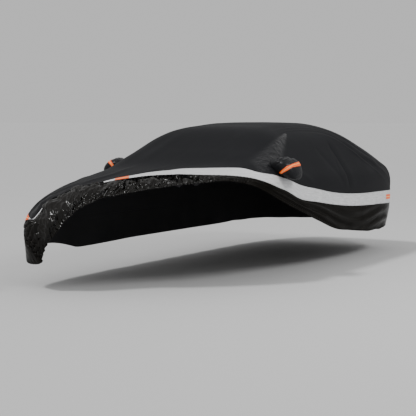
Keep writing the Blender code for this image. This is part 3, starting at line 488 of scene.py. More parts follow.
def beside(chart: Array, start: tuple, end: tuple) -> tuple[Array, Array, float]:
    """Where chart places lie beside a line between two points near the form.

    Args:
        chart: Chart places, (n, 2).
        start: The line's first point.
        end: Its last point.

    Returns:
        Metres along it and metres aside, (n,) each, and its length.
    """
    first, last = FORM.chart([start, end])
    length = np.linalg.norm(last - first)
    axis = (last - first) / length
    away = chart - first
    return away @ axis, away[:, 1] * axis[0] - away[:, 0] * axis[1], length


# ---------------------------------------------------------------- folds listed one by one
class Crease(NamedTuple):
    """A soft ridge, or a trough where the height is negative, between two points near the form."""

    place: str
    start: tuple
    end: tuple
    height: float
    width: float


CREASES = (
    Crease("rear post trough", (0.74, 0.66, 1.28), (0.98, 0.75, 0.76), -0.004, 0.040),
    Crease("rear post ridge", (0.73, 0.78, 1.27), (0.98, 0.85, 0.78), 0.002, 0.045),
    Crease("boot shoulder", (0.88, 1.35, 0.93), (0.88, 2.15, 0.90), -0.007, 0.060),
    Crease("rear quarter", (0.70, 1.10, 1.27), (0.90, 1.75, 0.98), 0.008, 0.060),
    Crease("front post ridge", (0.60, -0.20, 1.35), (0.84, -0.96, 1.03), 0.009, 0.035),
    Crease("front post trough", (0.66, -0.16, 1.30), (0.90, -0.88, 1.00), -0.009, 0.040),
    Crease("windscreen, near", (0.30, -0.45, 1.35), (0.55, -1.00, 1.08), 0.006, 0.070),
    Crease("windscreen, far", (-0.30, -0.45, 1.35), (-0.45, -1.05, 1.08), 0.006, 0.070),
    Crease("bonnet, far fold", (-0.45, -1.10, 1.07), (-0.55, -1.95, 0.90), 0.010, 0.055),
    Crease("bonnet, pulled fold", (-0.05, -1.15, 1.08), (-0.26, -1.80, 0.95), 0.009, 0.050),
    Crease("bonnet, far edge", (-0.75, -1.25, 0.97), (-0.72, -2.00, 0.85), -0.005, 0.060),
    Crease("far corner streak", (-0.70, -2.10, 0.84), (-0.80, -2.30, 0.72), 0.010, 0.045),
    Crease("rear window, near", (0.35, 1.20, 1.38), (0.45, 1.90, 1.16), 0.006, 0.070),
    Crease("rear window, far", (-0.35, 1.20, 1.38), (-0.45, 1.90, 1.16), 0.006, 0.070),
    Crease("boot, near drop", (0.35, 2.25, 1.05), (0.40, 2.50, 0.74), 0.008, 0.060),
    Crease("boot, far drop", (-0.30, 2.25, 1.05), (-0.25, 2.50, 0.74), 0.008, 0.060),
    Crease("far door, front", (-0.80, -0.30, 1.15), (-0.98, -0.15, 0.76), 0.008, 0.060),
    Crease("far door, rear", (-0.78, 0.70, 1.20), (-0.98, 0.90, 0.76), -0.009, 0.055),
    Crease("far rear quarter", (-0.70, 1.10, 1.27), (-0.92, 1.70, 0.90), 0.008, 0.060),
    # finer ones that only the shown cloth has
    Crease("rear post line", (0.742, 0.666, 1.276), (0.982, 0.744, 0.760), -0.0030, 0.012),
    Crease("rear post second line", (0.742, 0.700, 1.276), (0.961, 0.560, 0.920), -0.0025, 0.014),
    Crease("rear door pull", (0.78, 0.30, 1.20), (0.97, 0.62, 0.80), -0.004, 0.040),
    Crease("front door pull", (0.86, -0.45, 1.05), (0.97, -0.10, 0.86), 0.004, 0.040),
    Crease("quarter pull, upper", (0.66, 0.98, 1.33), (0.86, 1.62, 1.06), -0.006, 0.028),
    Crease("quarter pull, lower", (0.80, 1.05, 1.18), (0.93, 1.95, 0.86), 0.005, 0.035),
    Crease("boot edge ridge", (0.84, 1.75, 0.99), (0.86, 2.30, 0.93), 0.006, 0.030),
    Crease("boot corner drop", (0.84, 2.28, 0.93), (0.88, 2.22, 0.72), 0.005, 0.040),
    Crease("bonnet sheet line", (0.10, -1.20, 1.07), (-0.14, -1.72, 0.97), -0.005, 0.030),
    Crease("far wing drop", (-0.70, -1.45, 0.93), (-0.93, -1.60, 0.74), 0.006, 0.045),
    Crease("nose pull, outer", (-0.56, -1.85, 0.91), (-0.74, -2.32, 0.76), -0.006, 0.035),
    Crease("far corner second streak", (-0.62, -2.12, 0.86), (-0.70, -2.36, 0.74), 0.006, 0.026),
)


class Shine(NamedTuple):
    """A stretch where the coating lies shiny and finely crumpled, as a soft wedge on a line."""

    place: str
    start: tuple
    end: tuple
    widths: tuple  # at its start and at its end
    strength: float


SHINES = (
    Shine("front post", (0.637, -0.08, 1.350), (0.820, -0.83, 1.080), (0.012, 0.125), 1.0),
    Shine("ahead of the mirror", (0.77, -0.90, 1.07), (0.86, -1.00, 1.00), (0.060, 0.045), 0.8),
    Shine("under the mirror", (0.93, -0.60, 0.92), (0.93, -0.80, 0.93), (0.045, 0.045), 0.6),
    Shine("far front corner", (-0.66, -2.20, 0.80), (-0.70, -2.40, 0.65), (0.030, 0.030), 0.9),
)


@dataclass(frozen=True)
class Shell:
    """The cloth above the band: where it lies, how it is folded and where it shines."""

    lip_reach: float = 0.16  # how far up the bunched skirt lifts the cloth
    settle_reach: float = 0.10  # how far from the band the folds reach their height
    edge_samples: int = 1200
    slack_height: float = 0.0022
    ripple_height: float = 0.0007
    crumple_height: float = 0.009
    crumple_reach: float = 0.03  # how far from the band the crumples reach their height
    crumple_length: float = 0.11  # of one crumple along a shiny stretch
    crumple_pitch: float = 0.045  # and across it
    crumple_slant: float = 0.4
    fade_ahead: float = 0.05  # a crease starts to rise this far ahead of its ends
    fade_share: float = 0.25  # and has its height this share of its length past them
    relief: Relief = Relief(11)

    def lip(self, chart: Array) -> tuple[Array, Array]:
        """How far the bunched skirt lifts the cloth, by a bell over the distance to the band.

        Args:
            chart: Chart places, (n, 2).

        Returns:
            Lift in metres and distance to the band's upper edge, (n,) each.
        """
        way = np.linspace(0.0, EDGES.round, self.edge_samples, endpoint=False)
        edge = EDGES.chart(Edge.TOP, way)
        squared = np.sum(chart**2, 1)[:, None] + np.sum(edge**2, 1)[None] - 2.0 * chart @ edge.T
        nearest = squared.argmin(axis=1)
        distance = np.linalg.norm(chart - edge[nearest], axis=1)
        lift = EDGES.stands(way)[1][nearest] * np.exp(-((distance / self.lip_reach) ** 2))
        return lift, distance

    def creases(self, chart: Array) -> Array:
        """Sum of the creases: a bell across each one, fading at both its ends.

        Args:
            chart: Chart places, (n, 2).

        Returns:
            Heights in metres, (n,).
        """
        total = np.zeros(len(chart))
        for crease in CREASES:
            along, aside, length = beside(chart, crease.start, crease.end)
            taper = smoothstep(-self.fade_ahead, self.fade_share * length, along)
            taper *= smoothstep(length + self.fade_ahead, (1.0 - self.fade_share) * length, along)
            total += crease.height * taper * np.exp(-((aside / crease.width) ** 2))
        return total

    def shine(self, chart: Array) -> tuple[Array, Array]:
        """Where the cloth is shiny and crumpled, and the crumples' relief, run along each stretch.

        Args:
            chart: Chart places, (n, 2).

        Returns:
            Shine, 0 to 1, and relief, 0 to 1, (n,) each.
        """
        shine = np.zeros(len(chart))
        relief = np.zeros(len(chart))
        for number, spot in enumerate(SHINES):
            along, aside, length = beside(chart, spot.start, spot.end)
            away = np.hypot(aside, np.maximum(0.0, np.maximum(-along, along - length)))
            width = np.interp(along, (0.0, length), spot.widths)
            bell = spot.strength * np.exp(-((away / width) ** 4))
            folds = self.relief.crumpled(
                along / self.crumple_length + 9.0 * number,
                aside / self.crumple_pitch + self.crumple_slant * along / self.crumple_pitch)
            relief = np.maximum(relief, bell * folds)
            shine = np.maximum(shine, bell)
        return np.clip(shine, 0.0, 1.0), relief

    def place(self, chart: Array) -> tuple[Array, Array, Array]:
        """The shell's cloth at chart places: lip, creases, slack and crumples on the form.

        Args:
            chart: Chart places, (n, 2).

        Returns:
            Points (n, 3), unit normals (n, 3) and shine (n,).
        """
        base = FORM.on(chart)
        normals = FORM.outward(base)
        lip, distance = self.lip(chart)
        settle = smoothstep(0.0, self.settle_reach, distance)
        near = smoothstep(0.0, self.crumple_reach, distance)
        x, y = chart[:, 0], chart[:, 1]
        slack = self.slack_height * self.relief.soft(x * 2.1, y * 1.6)
        slack += self.ripple_height * self.relief.soft(x * 8.0 + 3.0, y * 6.0)
        shine, folds = self.shine(chart)
        height = lip + (self.creases(chart) + slack) * settle + self.crumple_height * folds * near
        return base + normals * height[:, None], normals, shine

    def cover(self, chart: Array) -> list[Array]:
        """The same over a grid of chart places, (columns, rows, 2), as grids of the same shape."""
        parts = self.place(chart.reshape(-1, 2))
        return [part.reshape(*chart.shape[:2], *part.shape[1:]) for part in parts]


SHELL = Shell()


# ---------------------------------------------------------------- grids and meshes
@dataclass
class Grid:
    """A sheet of cloth as a grid, (columns, rows): its points are its outer face."""

    points: Array
    normals: Array
    uv: Array  # metres along and across the cloth
    shine: Array
    index: NDArray[np.int64] | None = None  # point numbers, repeated where points are one
    keep: NDArray[np.bool_] | None = None  # cells that stay, (columns - 1, rows - 1)

    @property
    def numbers(self) -> NDArray[np.int64]:
        """The point numbers, counted row by row where none are given."""
        columns, rows = self.points.shape[:2]
        return np.arange(columns * rows).reshape(columns, rows) if self.index is None else self.index

    def facing(self, faces: NDArray[np.int64]) -> Array:
        """Cross products of the cells' diagonals: along their normals, as long as twice their area."""
        one, two, three, four = (self.points.reshape(-1, 3)[faces[:, k]] for k in range(4))
        return np.cross(three - one, four - two)

    def quads(self) -> NDArray[np.int64]:
        """Cells as four point numbers each, turned so that they face the way the normals point.

        Returns:
            Faces, (n, 4).
        """
        number = self.numbers
        corners = [number[:-1, :-1], number[1:, :-1], number[1:, 1:], number[:-1, 1:]]
        faces = np.stack(corners, -1)
        faces = faces[self.keep] if self.keep is not None else faces.reshape(-1, 4)
        outward = np.sum(self.facing(faces) * self.normals.reshape(-1, 3)[faces[:, 0]])
        return faces if outward > 0.0 else faces[:, ::-1]

    def area(self) -> float:
        """Area of the sheet's outer face in square metres."""
        return 0.5 * float(np.linalg.norm(self.facing(self.quads()), axis=1).sum())


def rim_of(faces: NDArray[np.int64]) -> NDArray[np.int64]:
    """Directed edges that only one face has: the outline of a sheet, (n, 2).

    Args:
        faces: Faces as four point numbers each.

    Returns:
        Point numbers, (n, 2).
    """
    edges = np.concatenate([faces[:, [k, (k + 1) % 4]] for k in range(4)])
    edges = edges[edges[:, 0] != edges[:, 1]]
    low, high = edges.min(axis=1), edges.max(axis=1)
    key = low * (high.max() + 1) + high
    _, index, count = np.unique(key, return_inverse=True, return_counts=True)
    return edges[count[index] == 1]


def put_up(name: str, data: bpy.types.ID) -> bpy.types.Object:
    """Makes an object of its data and links it to the scene.

    Args:
        name: The object's name.
        data: Its mesh, light or camera.

    Returns:
        The object.
    """
    made = bpy.data.objects.new(name, data)
    bpy.context.scene.collection.objects.link(made)
    return made


def sew(name: str, grid: Grid, outside: bpy.types.Material, inside: bpy.types.Material,
        thickness: float = CLOTH) -> bpy.types.Object:
    """Makes one closed sheet: the grid, the same grid a thickness below it, and walls at the rim.

    Args:
        name: The piece's name.
        grid: Its outer face.
        outside: Finish of the outer face and the rim.
        inside: Finish of the inner face.
        thickness: Distance between the two faces.

    Returns:
        The piece, at the origin, riding on the body.
    """
    faces = grid.quads()
    rim = rim_of(faces)
    outer = grid.points.reshape(-1, 3) - ORIGIN
    inner = outer - grid.normals.reshape(-1, 3) * thickness
    count = len(outer)
    walls = np.stack([rim[:, 1], rim[:, 0], rim[:, 0] + count, rim[:, 1] + count], 1)
    every = np.concatenate([faces, walls, faces[:, ::-1] + count])
    is_inner = np.arange(len(every)) >= len(faces) + len(walls)
    used, every_new = np.unique(every, return_inverse=True)
    every = every_new.reshape(every.shape)
    pinched = (every == np.roll(every, 1, axis=1)).any(axis=1)
    polygons = every[~pinched].tolist()
    polygons += [list(dict.fromkeys(face)) for face in every[pinched].tolist()]
    lining = np.concatenate([is_inner[~pinched], is_inner[pinched]])
    mesh = bpy.data.meshes.new(name)
    mesh.from_pydata(np.concatenate([outer, inner])[used].tolist(), [], polygons)
    mesh.materials.append(outside)
    mesh.materials.append(inside)
    mesh.polygons.foreach_set("material_index", lining.astype(np.int32))
    vertex = np.zeros(len(mesh.loops), np.int32)
    mesh.loops.foreach_get("vertex_index", vertex)
    uv = np.tile(grid.uv.reshape(-1, 2), (2, 1))[used]
    mesh.uv_layers.new(name=Finish.UV).uv.foreach_set("vector", uv[vertex].astype(np.float32).ravel())
    shine = np.tile(grid.shine.reshape(-1), 2)[used]
    mesh.attributes.new(Finish.SHINE, "FLOAT", "POINT").data.foreach_set("value", shine.astype(np.float32))
    mesh.shade_smooth()
    mesh.set_sharp_from_angle(angle=np.radians(CRISP))
    piece = put_up(name, mesh)
    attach(piece, BODY)
    log.info("%s: %d faces, %.3f square metres", name, len(mesh.polygons), grid.area())
    return piece


def dense_ends(count: int, crowd: float) -> Array:
    """Shares from 0 to 1 that lie closer together at both ends, by a sine added to even steps."""
    even = np.linspace(0.0, 1.0, count)
    return even - crowd * np.sin(2.0 * np.pi * even) / (2.0 * np.pi)


def from_end(points: Array, axis: int, last: bool = False) -> Array:
    """Metres from one end of each grid line, added up along it.

    Args:
        points: Grid of points, (columns, rows, 3).
        axis: 0 to go along the columns, 1 along the rows.
        last: Whether to start from the far end.

    Returns:
        Distances, (columns, rows).
    """
    line = np.flip(points, axis) if last else points
    steps = np.linalg.norm(np.diff(line, axis=axis), axis=-1)
    pad = [(0, 0), (0, 0)]
    pad[axis] = (1, 0)
    distance = np.cumsum(np.pad(steps, pad), axis=axis)
    return np.flip(distance, axis) if last else distance


def ruled(low: Array, high: Array, up: Array) -> Array:
    """Chart places between two edges, on a straight line at each column, (columns, rows, 2).

    Args:
        low: Chart places of the lower edge, (columns, 2).
        high: Those of the upper edge.
        up: Shares of the way up, rows of them.

    Returns:
        Chart places, (columns, rows, 2).
    """
    share = up.reshape(1, -1, 1)
    return low[:, None] * (1.0 - share) + high[:, None] * share


@dataclass(frozen=True)
class Laid:
    """A strip as it lies on the form between two of the lines round the cover, before its folds."""

    way: Array  # metres of way, (columns, 1)
    up: Array  # shares from the lower line to the upper, (1, rows)
    base: Array  # points, (columns, rows, 3)
    normals: Array

    @property
    def from_low(self) -> Array:
        """Metres from the lower line, (columns, rows)."""
        return from_end(self.base, 1)

    @property
    def from_high(self) -> Array:
        """Metres from the upper line, (columns, rows)."""
        return self.from_low[:, -1:] - self.from_low

    def band_lift(self) -> Array:
        """How far the band stands off the form: the lifts of its two edges, blended."""
        low_lift, top_lift, _, _ = EDGES.stands(self.way)
        return low_lift * (1.0 - self.up) + top_lift * self.up

    def grid(self, height: Array, across: Array, shine: Array) -> Grid:
        """The strip lifted off the form by a height, mapped by its way and a measure across."""
        uv = np.stack([np.broadcast_to(self.way, height.shape), across], -1)
        return Grid(self.base + self.normals * height[..., None], self.normals, uv, shine)


def lay(way: Array, up: Array, low: Edge, high: Edge) -> Laid:
    """Lays a strip on the form, ruled between two lines.

    Args:
        way: Metres of way, (columns,).
        up: Shares from the lower line to the upper, (rows,).
        low: The lower line.
        high: The upper line.

    Returns:
        The strip.
    """
    chart = ruled(EDGES.chart(low, way), EDGES.chart(high, way), up)
    base = FORM.on(chart.reshape(-1, 2))
    shape = (way.size, up.size, 3)
    return Laid(way[:, None], up[None], base.reshape(shape), FORM.outward(base).reshape(shape))


def welt(distance: Array, width: float = 0.012, height: float = 0.0014) -> Array:
    """The doubled cloth beside a seam: a low step that ends a width away, with a groove at the seam."""
    return height * smoothstep(width * 1.35, width, distance) * smoothstep(0.0, 0.003, distance)


@dataclass(frozen=True)
class Buckle:
    """Blender's cloth simulation of a strip with more cloth than room, which buckles into folds."""

    growth: float = 0.28  # how much longer and wider the cloth is than its room
    frames: int = 24
    hold: float = 0.03  # how firmly the cloth is drawn to where it started
    quality: int = 5
    mass: float = 0.15
    stretch: float = 20.0  # stiffness against stretching and against pressing together
    shear: float = 8.0
    bending: float = 15.0
    drag: float = 2.0

    def finer(self, points: Array) -> Array:
        """Twice the columns and rows, by a smooth curve through each grid line.

        Args:
            points: Grid of points, (columns, rows, 3).

        Returns:
            The finer grid, which holds the same points and those halfway.
        """
        for axis in (0, 1):
            line = np.moveaxis(points, axis, 0)
            padded = np.concatenate([2.0 * line[:1] - line[1:2], line, 2.0 * line[-1:] - line[-2:-1]])
            fine = np.empty((2 * len(line) - 1, *line.shape[1:]))
            fine[::2] = line
            fine[1::2] = (9.0 * (line[:-1] + line[1:]) - padded[:-3] - padded[3:]) / 16.0
            points = np.moveaxis(fine, 0, axis)
        return points

    def run(self, name: str, start: Array, freedom: Array) -> Array:
        """Lets the strip's cloth grow while its edges are held, on every second column and row.

        Args:
            name: The piece's name.
            start: Grid of points where the cloth starts, with odd numbers of columns and rows.
            freedom: 0 to 1 over the grid: how freely the cloth moves.

        Returns:
            The grid's points after the last frame.
        """
        coarse = start[::2, ::2]
        sheet = Grid(coarse, coarse * 0.0, coarse[..., :2], coarse[..., 0])
        mesh = bpy.data.meshes.new(name)
        mesh.from_pydata((coarse.reshape(-1, 3) - ORIGIN).tolist(), [], sheet.quads().tolist())
        cloth = put_up(name, mesh)
        held = cloth.vertex_groups.new(name="held")
        firm = np.clip(1.0 - freedom[::2, ::2] * (1.0 - self.hold), 0.0, 1.0).reshape(-1)
        for vertex, weight in enumerate(firm.tolist()):
            held.add([vertex], weight, "REPLACE")
        modifier = cloth.modifiers.new("cloth", "CLOTH")
        settings = modifier.settings
        settings.quality = self.quality
        settings.mass = self.mass
        settings.tension_stiffness = settings.compression_stiffness = self.stretch
        settings.shear_stiffness = self.shear
        settings.bending_stiffness = self.bending
        settings.air_damping = self.drag
        settings.vertex_group_mass = held.name
        settings.pin_stiffness = 1.0
        settings.shrink_min = -self.growth
        settings.effector_weights.gravity = 0.0
        modifier.collision_settings.use_collision = False
        modifier.collision_settings.use_self_collision = False
        modifier.point_cache.frame_end = self.frames
        for frame_number in range(1, self.frames + 1):
            bpy.context.scene.frame_set(frame_number)
        settled = cloth.evaluated_get(bpy.context.evaluated_depsgraph_get()).data
        points = np.zeros(len(settled.vertices) * 3, np.float32)
        settled.vertices.foreach_get("co", points)
        bpy.data.objects.remove(cloth)
        bpy.context.scene.frame_set(1)
        moved = points.reshape(coarse.shape).astype(float) + ORIGIN - coarse
        return start + self.finer(moved)


class SeamFold(NamedTuple):
    """A low fold beside a roof seam: where it lies, its size, and the share of the seam it takes."""

    distance: float
    width: float
    height: float
    middle: float
    spread: float


SEAM_FOLDS = (
    SeamFold(0.030, 0.009, 0.0026, 0.42, 0.16),
    SeamFold(0.062, 0.013, -0.0030, 0.62, 0.20),
    SeamFold(0.105, 0.018, 0.0034, 0.68, 0.17),
)
SEAM_FOLD_DRIFT = 0.25  # how fast a fold leaves the seam, as a share of its distance


def seam_folds(distance: Array, along: Array) -> Array:
    """Low folds that the pull of a roof seam leaves beside it, a hand's width out, over part of it.

    Args:
        distance: Metres from the seam.
        along: Share of the way along it, 0 at the front.

    Returns:
        Heights in metres.
    """
    total = np.zeros(np.broadcast(distance, along).shape)
    for fold in SEAM_FOLDS:
        from_middle = along - fold.middle
        drift = fold.distance + SEAM_FOLD_DRIFT * from_middle * fold.distance
        bell = -(((distance - drift) / fold.width) ** 2) - (from_middle / fold.spread) ** 2
        total += fold.height * np.exp(bell)
    return total


# ---------------------------------------------------------------- node trees
class Wire:
    """An output of a node, whose arithmetic adds Math nodes to its tree."""

    def __init__(self, bench: "Bench", socket: bpy.types.NodeSocket) -> None:
        """Keeps the tree and the socket."""
        self.bench = bench
        self.socket = socket

    def __add__(self, other: "Wire | float") -> "Wire":
        """Sum."""
        return self.bench.math("ADD", self, other)

    __radd__ = __add__

    def __sub__(self, other: "Wire | float") -> "Wire":
        """Difference."""
        return self.bench.math("SUBTRACT", self, other)

    def __rsub__(self, other: float) -> "Wire":
        """Difference from a number."""
        return self.bench.math("SUBTRACT", other, self)

    def __mul__(self, other: "Wire | float") -> "Wire":
        """Product."""
        return self.bench.math("MULTIPLY", self, other)

    __rmul__ = __mul__

    def __abs__(self) -> "Wire":
        """Size without its sign."""
        return self.bench.math("ABSOLUTE", self)

    def sine(self) -> "Wire":
        """Sine."""
        return self.bench.math("SINE", self)

    def above(self, edge: float) -> "Wire":
        """1 where the value is over an edge, 0 elsewhere."""
        return self.bench.math("GREATER_THAN", self, edge)

    def below(self, edge: float) -> "Wire":
        """1 where the value is under an edge, 0 elsewhere."""
        return self.bench.math("LESS_THAN", self, edge)

    def held(self) -> "Wire":
        """The value kept from 0 to 1."""
        return self.bench.node("ShaderNodeClamp", inputs={"Value": self})


class Bench:
    """One material's node tree, and the method that adds a node to it."""

    def __init__(self, name: str) -> None:
        """Makes the material with its Principled shader.

        Args:
            name: The material's name.
        """
        self.material = bpy.data.materials.new(name)
        self.material.use_nodes = True
        self.tree = self.material.node_tree
        self.shader = self.tree.nodes["Principled BSDF"]

    def put(self, socket: bpy.types.NodeSocket, value: "Wire | float | tuple") -> None:
        """Links a wire to a socket, or sets the socket's own value.

        Args:
            socket: A node's input.
            value: The wire or the value.
        """
        if isinstance(value, Wire):
            self.tree.links.new(value.socket, socket)
        else:
            socket.default_value = value

    def node(self, kind: str, settings: dict | None = None, inputs: dict | None = None,
             output: int | str = 0) -> Wire:
        """Adds a node.

        Args:
            kind: The node's type.
            settings: Its properties, set before its sockets.
            inputs: Values or wires by socket name or number.
            output: Which output the wire is.

        Returns:
            That output.
        """
        made = self.tree.nodes.new(kind)
        for key, value in (settings or {}).items():
            setattr(made, key, value)
        for key, value in (inputs or {}).items():
            self.put(made.inputs[key], value)
        return Wire(self, made.outputs[output])

    def math(self, operation: str, *values: "Wire | float") -> Wire:
        """A Math node on these values."""
        return self.node("ShaderNodeMath", {"operation": operation}, dict(enumerate(values)))

    def mix(self, share: Wire, low: "Wire | tuple", high: "Wire | tuple") -> Wire:
        """A colour between two, low where the share is 0."""
        settings = {"data_type": "RGBA", "clamp_factor": True}
        return self.node("ShaderNodeMix", settings, {0: share, 6: low, 7: high}, output=2)

    def place(self) -> Wire:
        """The point's place on the object, in metres."""
        return self.node("ShaderNodeTexCoord", output="Object")

    def noise(self, scale: float, detail: float = 3.0, roughness: float = 0.5, distortion: float = 0.0,
              at: Wire | None = None) -> Wire:
        """Noise of 0 to 1, with a scale in repeats a metre.

        Args:
            scale: Repeats a metre.
            detail: Number of finer layers.
            roughness: How strong they are.
            distortion: How far the noise is bent by itself.
            at: Where it is read; the object's own place if left out.

        Returns:
            The noise.
        """
        inputs = {"Vector": at or self.place(), "Scale": scale, "Detail": detail,
                  "Roughness": roughness, "Distortion": distortion}
        return self.node("ShaderNodeTexNoise", inputs=inputs)

    def cloth_way(self) -> tuple[Wire, Wire]:
        """Metres along and across the cloth, from the piece's own map.

        Returns:
            Two wires.
        """
        vector = self.node("ShaderNodeUVMap", {"uv_map": Finish.UV})
        split = self.node("ShaderNodeSeparateXYZ", inputs={0: vector})
        return split, Wire(self, split.socket.node.outputs[1])

    def weave(self, pitch: float) -> Wire:
        """Crossed threads at a pitch in metres, by two sines, -1 to 1.

        Args:
            pitch: Metres from thread to thread.

        Returns:
            Their height.
        """
        turn = 2.0 * np.pi / pitch
        along, across = self.cloth_way()
        return (along * turn).sine() * (across * turn).sine()

    def shine(self) -> Wire:
        """How shiny and crumpled the piece says the cloth is here."""
        return self.node("ShaderNodeAttribute", {"attribute_name": Finish.SHINE}, output="Fac")

    def bump(self, height: Wire) -> Wire:
        """A normal from a height in metres."""
        return self.node("ShaderNodeBump", inputs={"Height": height, "Distance": 1.0, "Strength": 1.0})

    def done(self, **sockets: "Wire | float | tuple") -> bpy.types.Material:
        """Sets the shader's sockets, named with _ for a space, and gives the material.

        Args:
            sockets: A wire or a value for each.

        Returns:
            The material.
        """
        for key, value in sockets.items():
            self.put(self.shader.inputs[key.replace("_", " ")], value)
        return self.material


def rgb(red: float, green: float, blue: float) -> tuple:
    """A colour with full opacity."""
    return (red, green, blue, 1.0)


@dataclass(frozen=True)
class Finish:
    """What every finish has: a name, and the map and attribute that pieces carry for it."""

    UV = "cloth_way"
    SHINE = "shine"
    name: str = "finish"

    def make(self) -> bpy.types.Material:
        """Builds the material; each finish has its own."""
        raise NotImplementedError


@dataclass(frozen=True)
class MattShell(Finish):
    """Black coated fabric: a fine weave under a matt coat that turns shiny where it is crumpled."""

    name: str = "shell_fabric_matt_black"
    dark: tuple = rgb(0.0100, 0.0102, 0.0114)
    light: tuple = rgb(0.0162, 0.0165, 0.0184)
    roughness: float = 0.58
    thread: float = 0.0012  # pitch of the weave
    crinkle: float = 0.0016

    def make(self) -> bpy.types.Material:
        """Colour from two slow noises, roughness and crinkles from the shine.

        Returns:
            The material.
        """
        bench = Bench(self.name)
        weave = bench.weave(self.thread)
        cloud = bench.noise(1.9, 4.0, 0.55)
        dust = bench.noise(55.0, 4.0, 0.6)
        crinkle = bench.noise(34.0, 5.0, 0.62, 0.6)
        shine = bench.shine()
        tone = (cloud * 0.75 + dust * 0.35 + weave * 0.06).held()
        height = weave * 0.00004 + (crinkle - 0.5) * (shine * self.crinkle * 3.0 + self.crinkle * 0.18)
        return bench.done(
            Base_Color=bench.mix(tone, self.dark, self.light),
            Roughness=(self.roughness - shine * 0.27 + (dust - 0.5) * 0.10).held(),
            Specular_IOR_Level=0.05,
            Coat_Weight=(shine * 0.28).held(),
            Coat_Roughness=0.24,
            Normal=bench.bump(height),
        )


@dataclass(frozen=True)
class GlossySkirt(Finish):
    """Black coated fabric with a glossy face, crinkled all over."""

    name: str = "skirt_fabric_glossy_black"
    dark: tuple = rgb(0.0026, 0.0023, 0.0019)
    light: tuple = rgb(0.0088, 0.0076, 0.0058)
    roughness: float = 0.19
    thread: float = 0.0011
    crinkle: float = 0.0012

    def make(self) -> bpy.types.Material:
        """Crinkles of two sizes, stronger where the piece says that it is crushed.

        Returns:
            The material.
        """
        bench = Bench(self.name)
        weave = bench.weave(self.thread)
        broad = bench.noise(14.0, 3.0, 0.5, 0.8)
        fine = bench.noise(30.0, 4.0, 0.6, 0.5)
        dust = bench.noise(80.0, 3.0, 0.6)
        shine = bench.shine()
        crushed = shine * 0.9 + 0.1
        ridges = 1.0 - abs(fine - 0.5) * 5.0
        height = (broad - 0.5) * (crushed * self.crinkle * 5.5)
        height = height + ridges * (crushed * self.crinkle * 0.25) + weave * 0.00003
        return bench.done(
            Base_Color=bench.mix((broad * 0.7 + dust * 0.5 - 0.1).held(), self.dark, self.light),
            Roughness=(self.roughness + (dust - 0.5) * 0.18 + (broad - 0.5) * 0.10).held(),
            Specular_IOR_Level=0.006,
            Coat_Weight=(shine * 0.42 + 0.05).held(),
            Coat_Roughness=0.20,
            Normal=bench.bump(height),
        )


@dataclass(frozen=True)
class SilverBand(Finish):
    """Light reflective fabric: fine beads in a diamond weave, with a row of stitches at each edge."""

    name: str = "band_reflective_silver"
    dark: tuple = rgb(0.54, 0.545, 0.555)
    light: tuple = rgb(0.92, 0.925, 0.935)
    thread_dark: tuple = rgb(0.12, 0.12, 0.125)
    cell: float = 0.004
    stitch: float = 0.005
    stitch_from_edge: float = 0.007
    stitch_half_width: float = 0.0008

    def make(self) -> bpy.types.Material:
        """Diamonds from two crossed sines, stitches from the way along and from the edge.

        Returns:
            The material.
        """
        bench = Bench(self.name)
        along, across = bench.cloth_way()
        turn = np.pi / self.cell
        diamonds = ((along + across) * turn).sine() * ((along - across) * turn).sine()
        drawn_out = bench.node("ShaderNodeCombineXYZ", inputs={0: along * 9.0, 1: across * 60.0})
        cloud = bench.noise(1.0, 4.0, 0.6, at=drawn_out)
        grain = bench.noise(130.0, 3.0, 0.6)
        from_edge = bench.shine()
        in_row = abs(from_edge - self.stitch_from_edge).below(self.stitch_half_width)
        stitches = in_row * (along * (2.0 * np.pi / self.stitch)).sine().above(-0.35)
        tone = ((cloud - 0.5) * 1.6 + grain * 0.9 + diamonds * 0.12).held()
        colour = bench.mix(tone, self.dark, self.light)
        height = diamonds * 0.00012 + (grain - 0.5) * 0.0003 + (cloud - 0.5) * 0.0012 - stitches * 0.0004
        return bench.done(
            Base_Color=bench.mix(stitches, colour, self.thread_dark),
            Roughness=(0.46 + (grain - 0.5) * 0.2).held(),
            Metallic=0.12,
            Normal=bench.bump(height),
        )


@dataclass(frozen=True)
class EdgedTape(Finish):
    """Orange tape with a pale reflective stripe down its middle, which glows faintly in its own colour:
    painted light.
    """

    name: str = "orange_tape_reflective_painted_glow"
    orange: tuple = rgb(1.00, 0.13, 0.001)
    orange_deep: tuple = rgb(0.85, 0.09, 0.001)
    stripe: tuple = rgb(1.00, 0.45, 0.10)
    stripe_pale: tuple = rgb(1.00, 0.62, 0.24)
    stripe_share: float = 0.15
    rib: float = 0.0015

    def make(self) -> bpy.types.Material:
        """The stripe lies by the share across the tape, ribbed along it; the whole tape glows faintly with
        painted light.

        Returns:
            The material.
        """
        bench = Bench(self.name)
        along, across = bench.cloth_way()
        ribs = (along * (2.0 * np.pi / self.rib)).sine()
        grain = bench.noise(220.0, 2.0, 0.6)
        middle = abs(across - 0.5).below(0.5 * self.stripe_share)
        colour = bench.mix(middle, bench.mix(grain, self.orange, self.orange_deep),
                           bench.mix(grain, self.stripe, self.stripe_pale))
        return bench.done(
            Base_Color=colour,
            # the tape glows faintly in its own colour: painted light, though the tape is no lamp
            Emission_Color=colour,
            Emission_Strength=0.22,
            Roughness=(0.50 - middle * 0.16 + (grain - 0.5) * 0.1).held(),
            Normal=bench.bump(ribs * 0.00008 + middle * 0.0002),
        )


@dataclass(frozen=True)
class PlainBack(Finish):
    """The uncoated back of the cloth, dark and matt."""

    name: str = "cloth_back_charcoal"
    dark: tuple = rgb(0.012, 0.012, 0.013)
    light: tuple = rgb(0.024, 0.024, 0.026)
    thread: float = 0.0016

    def make(self) -> bpy.types.Material:
        """A coarse weave with slow shading.

        Returns:
            The material.
        """
        bench = Bench(self.name)
        weave = bench.weave(self.thread)
        cloud = bench.noise(3.0, 4.0, 0.6)
        return bench.done(
            Base_Color=bench.mix((cloud + weave * 0.1).held(), self.dark, self.light),
            Roughness=0.85,
            Specular_IOR_Level=0.25,
            Normal=bench.bump(weave * 0.00006 + (cloud - 0.5) * 0.002),
        )


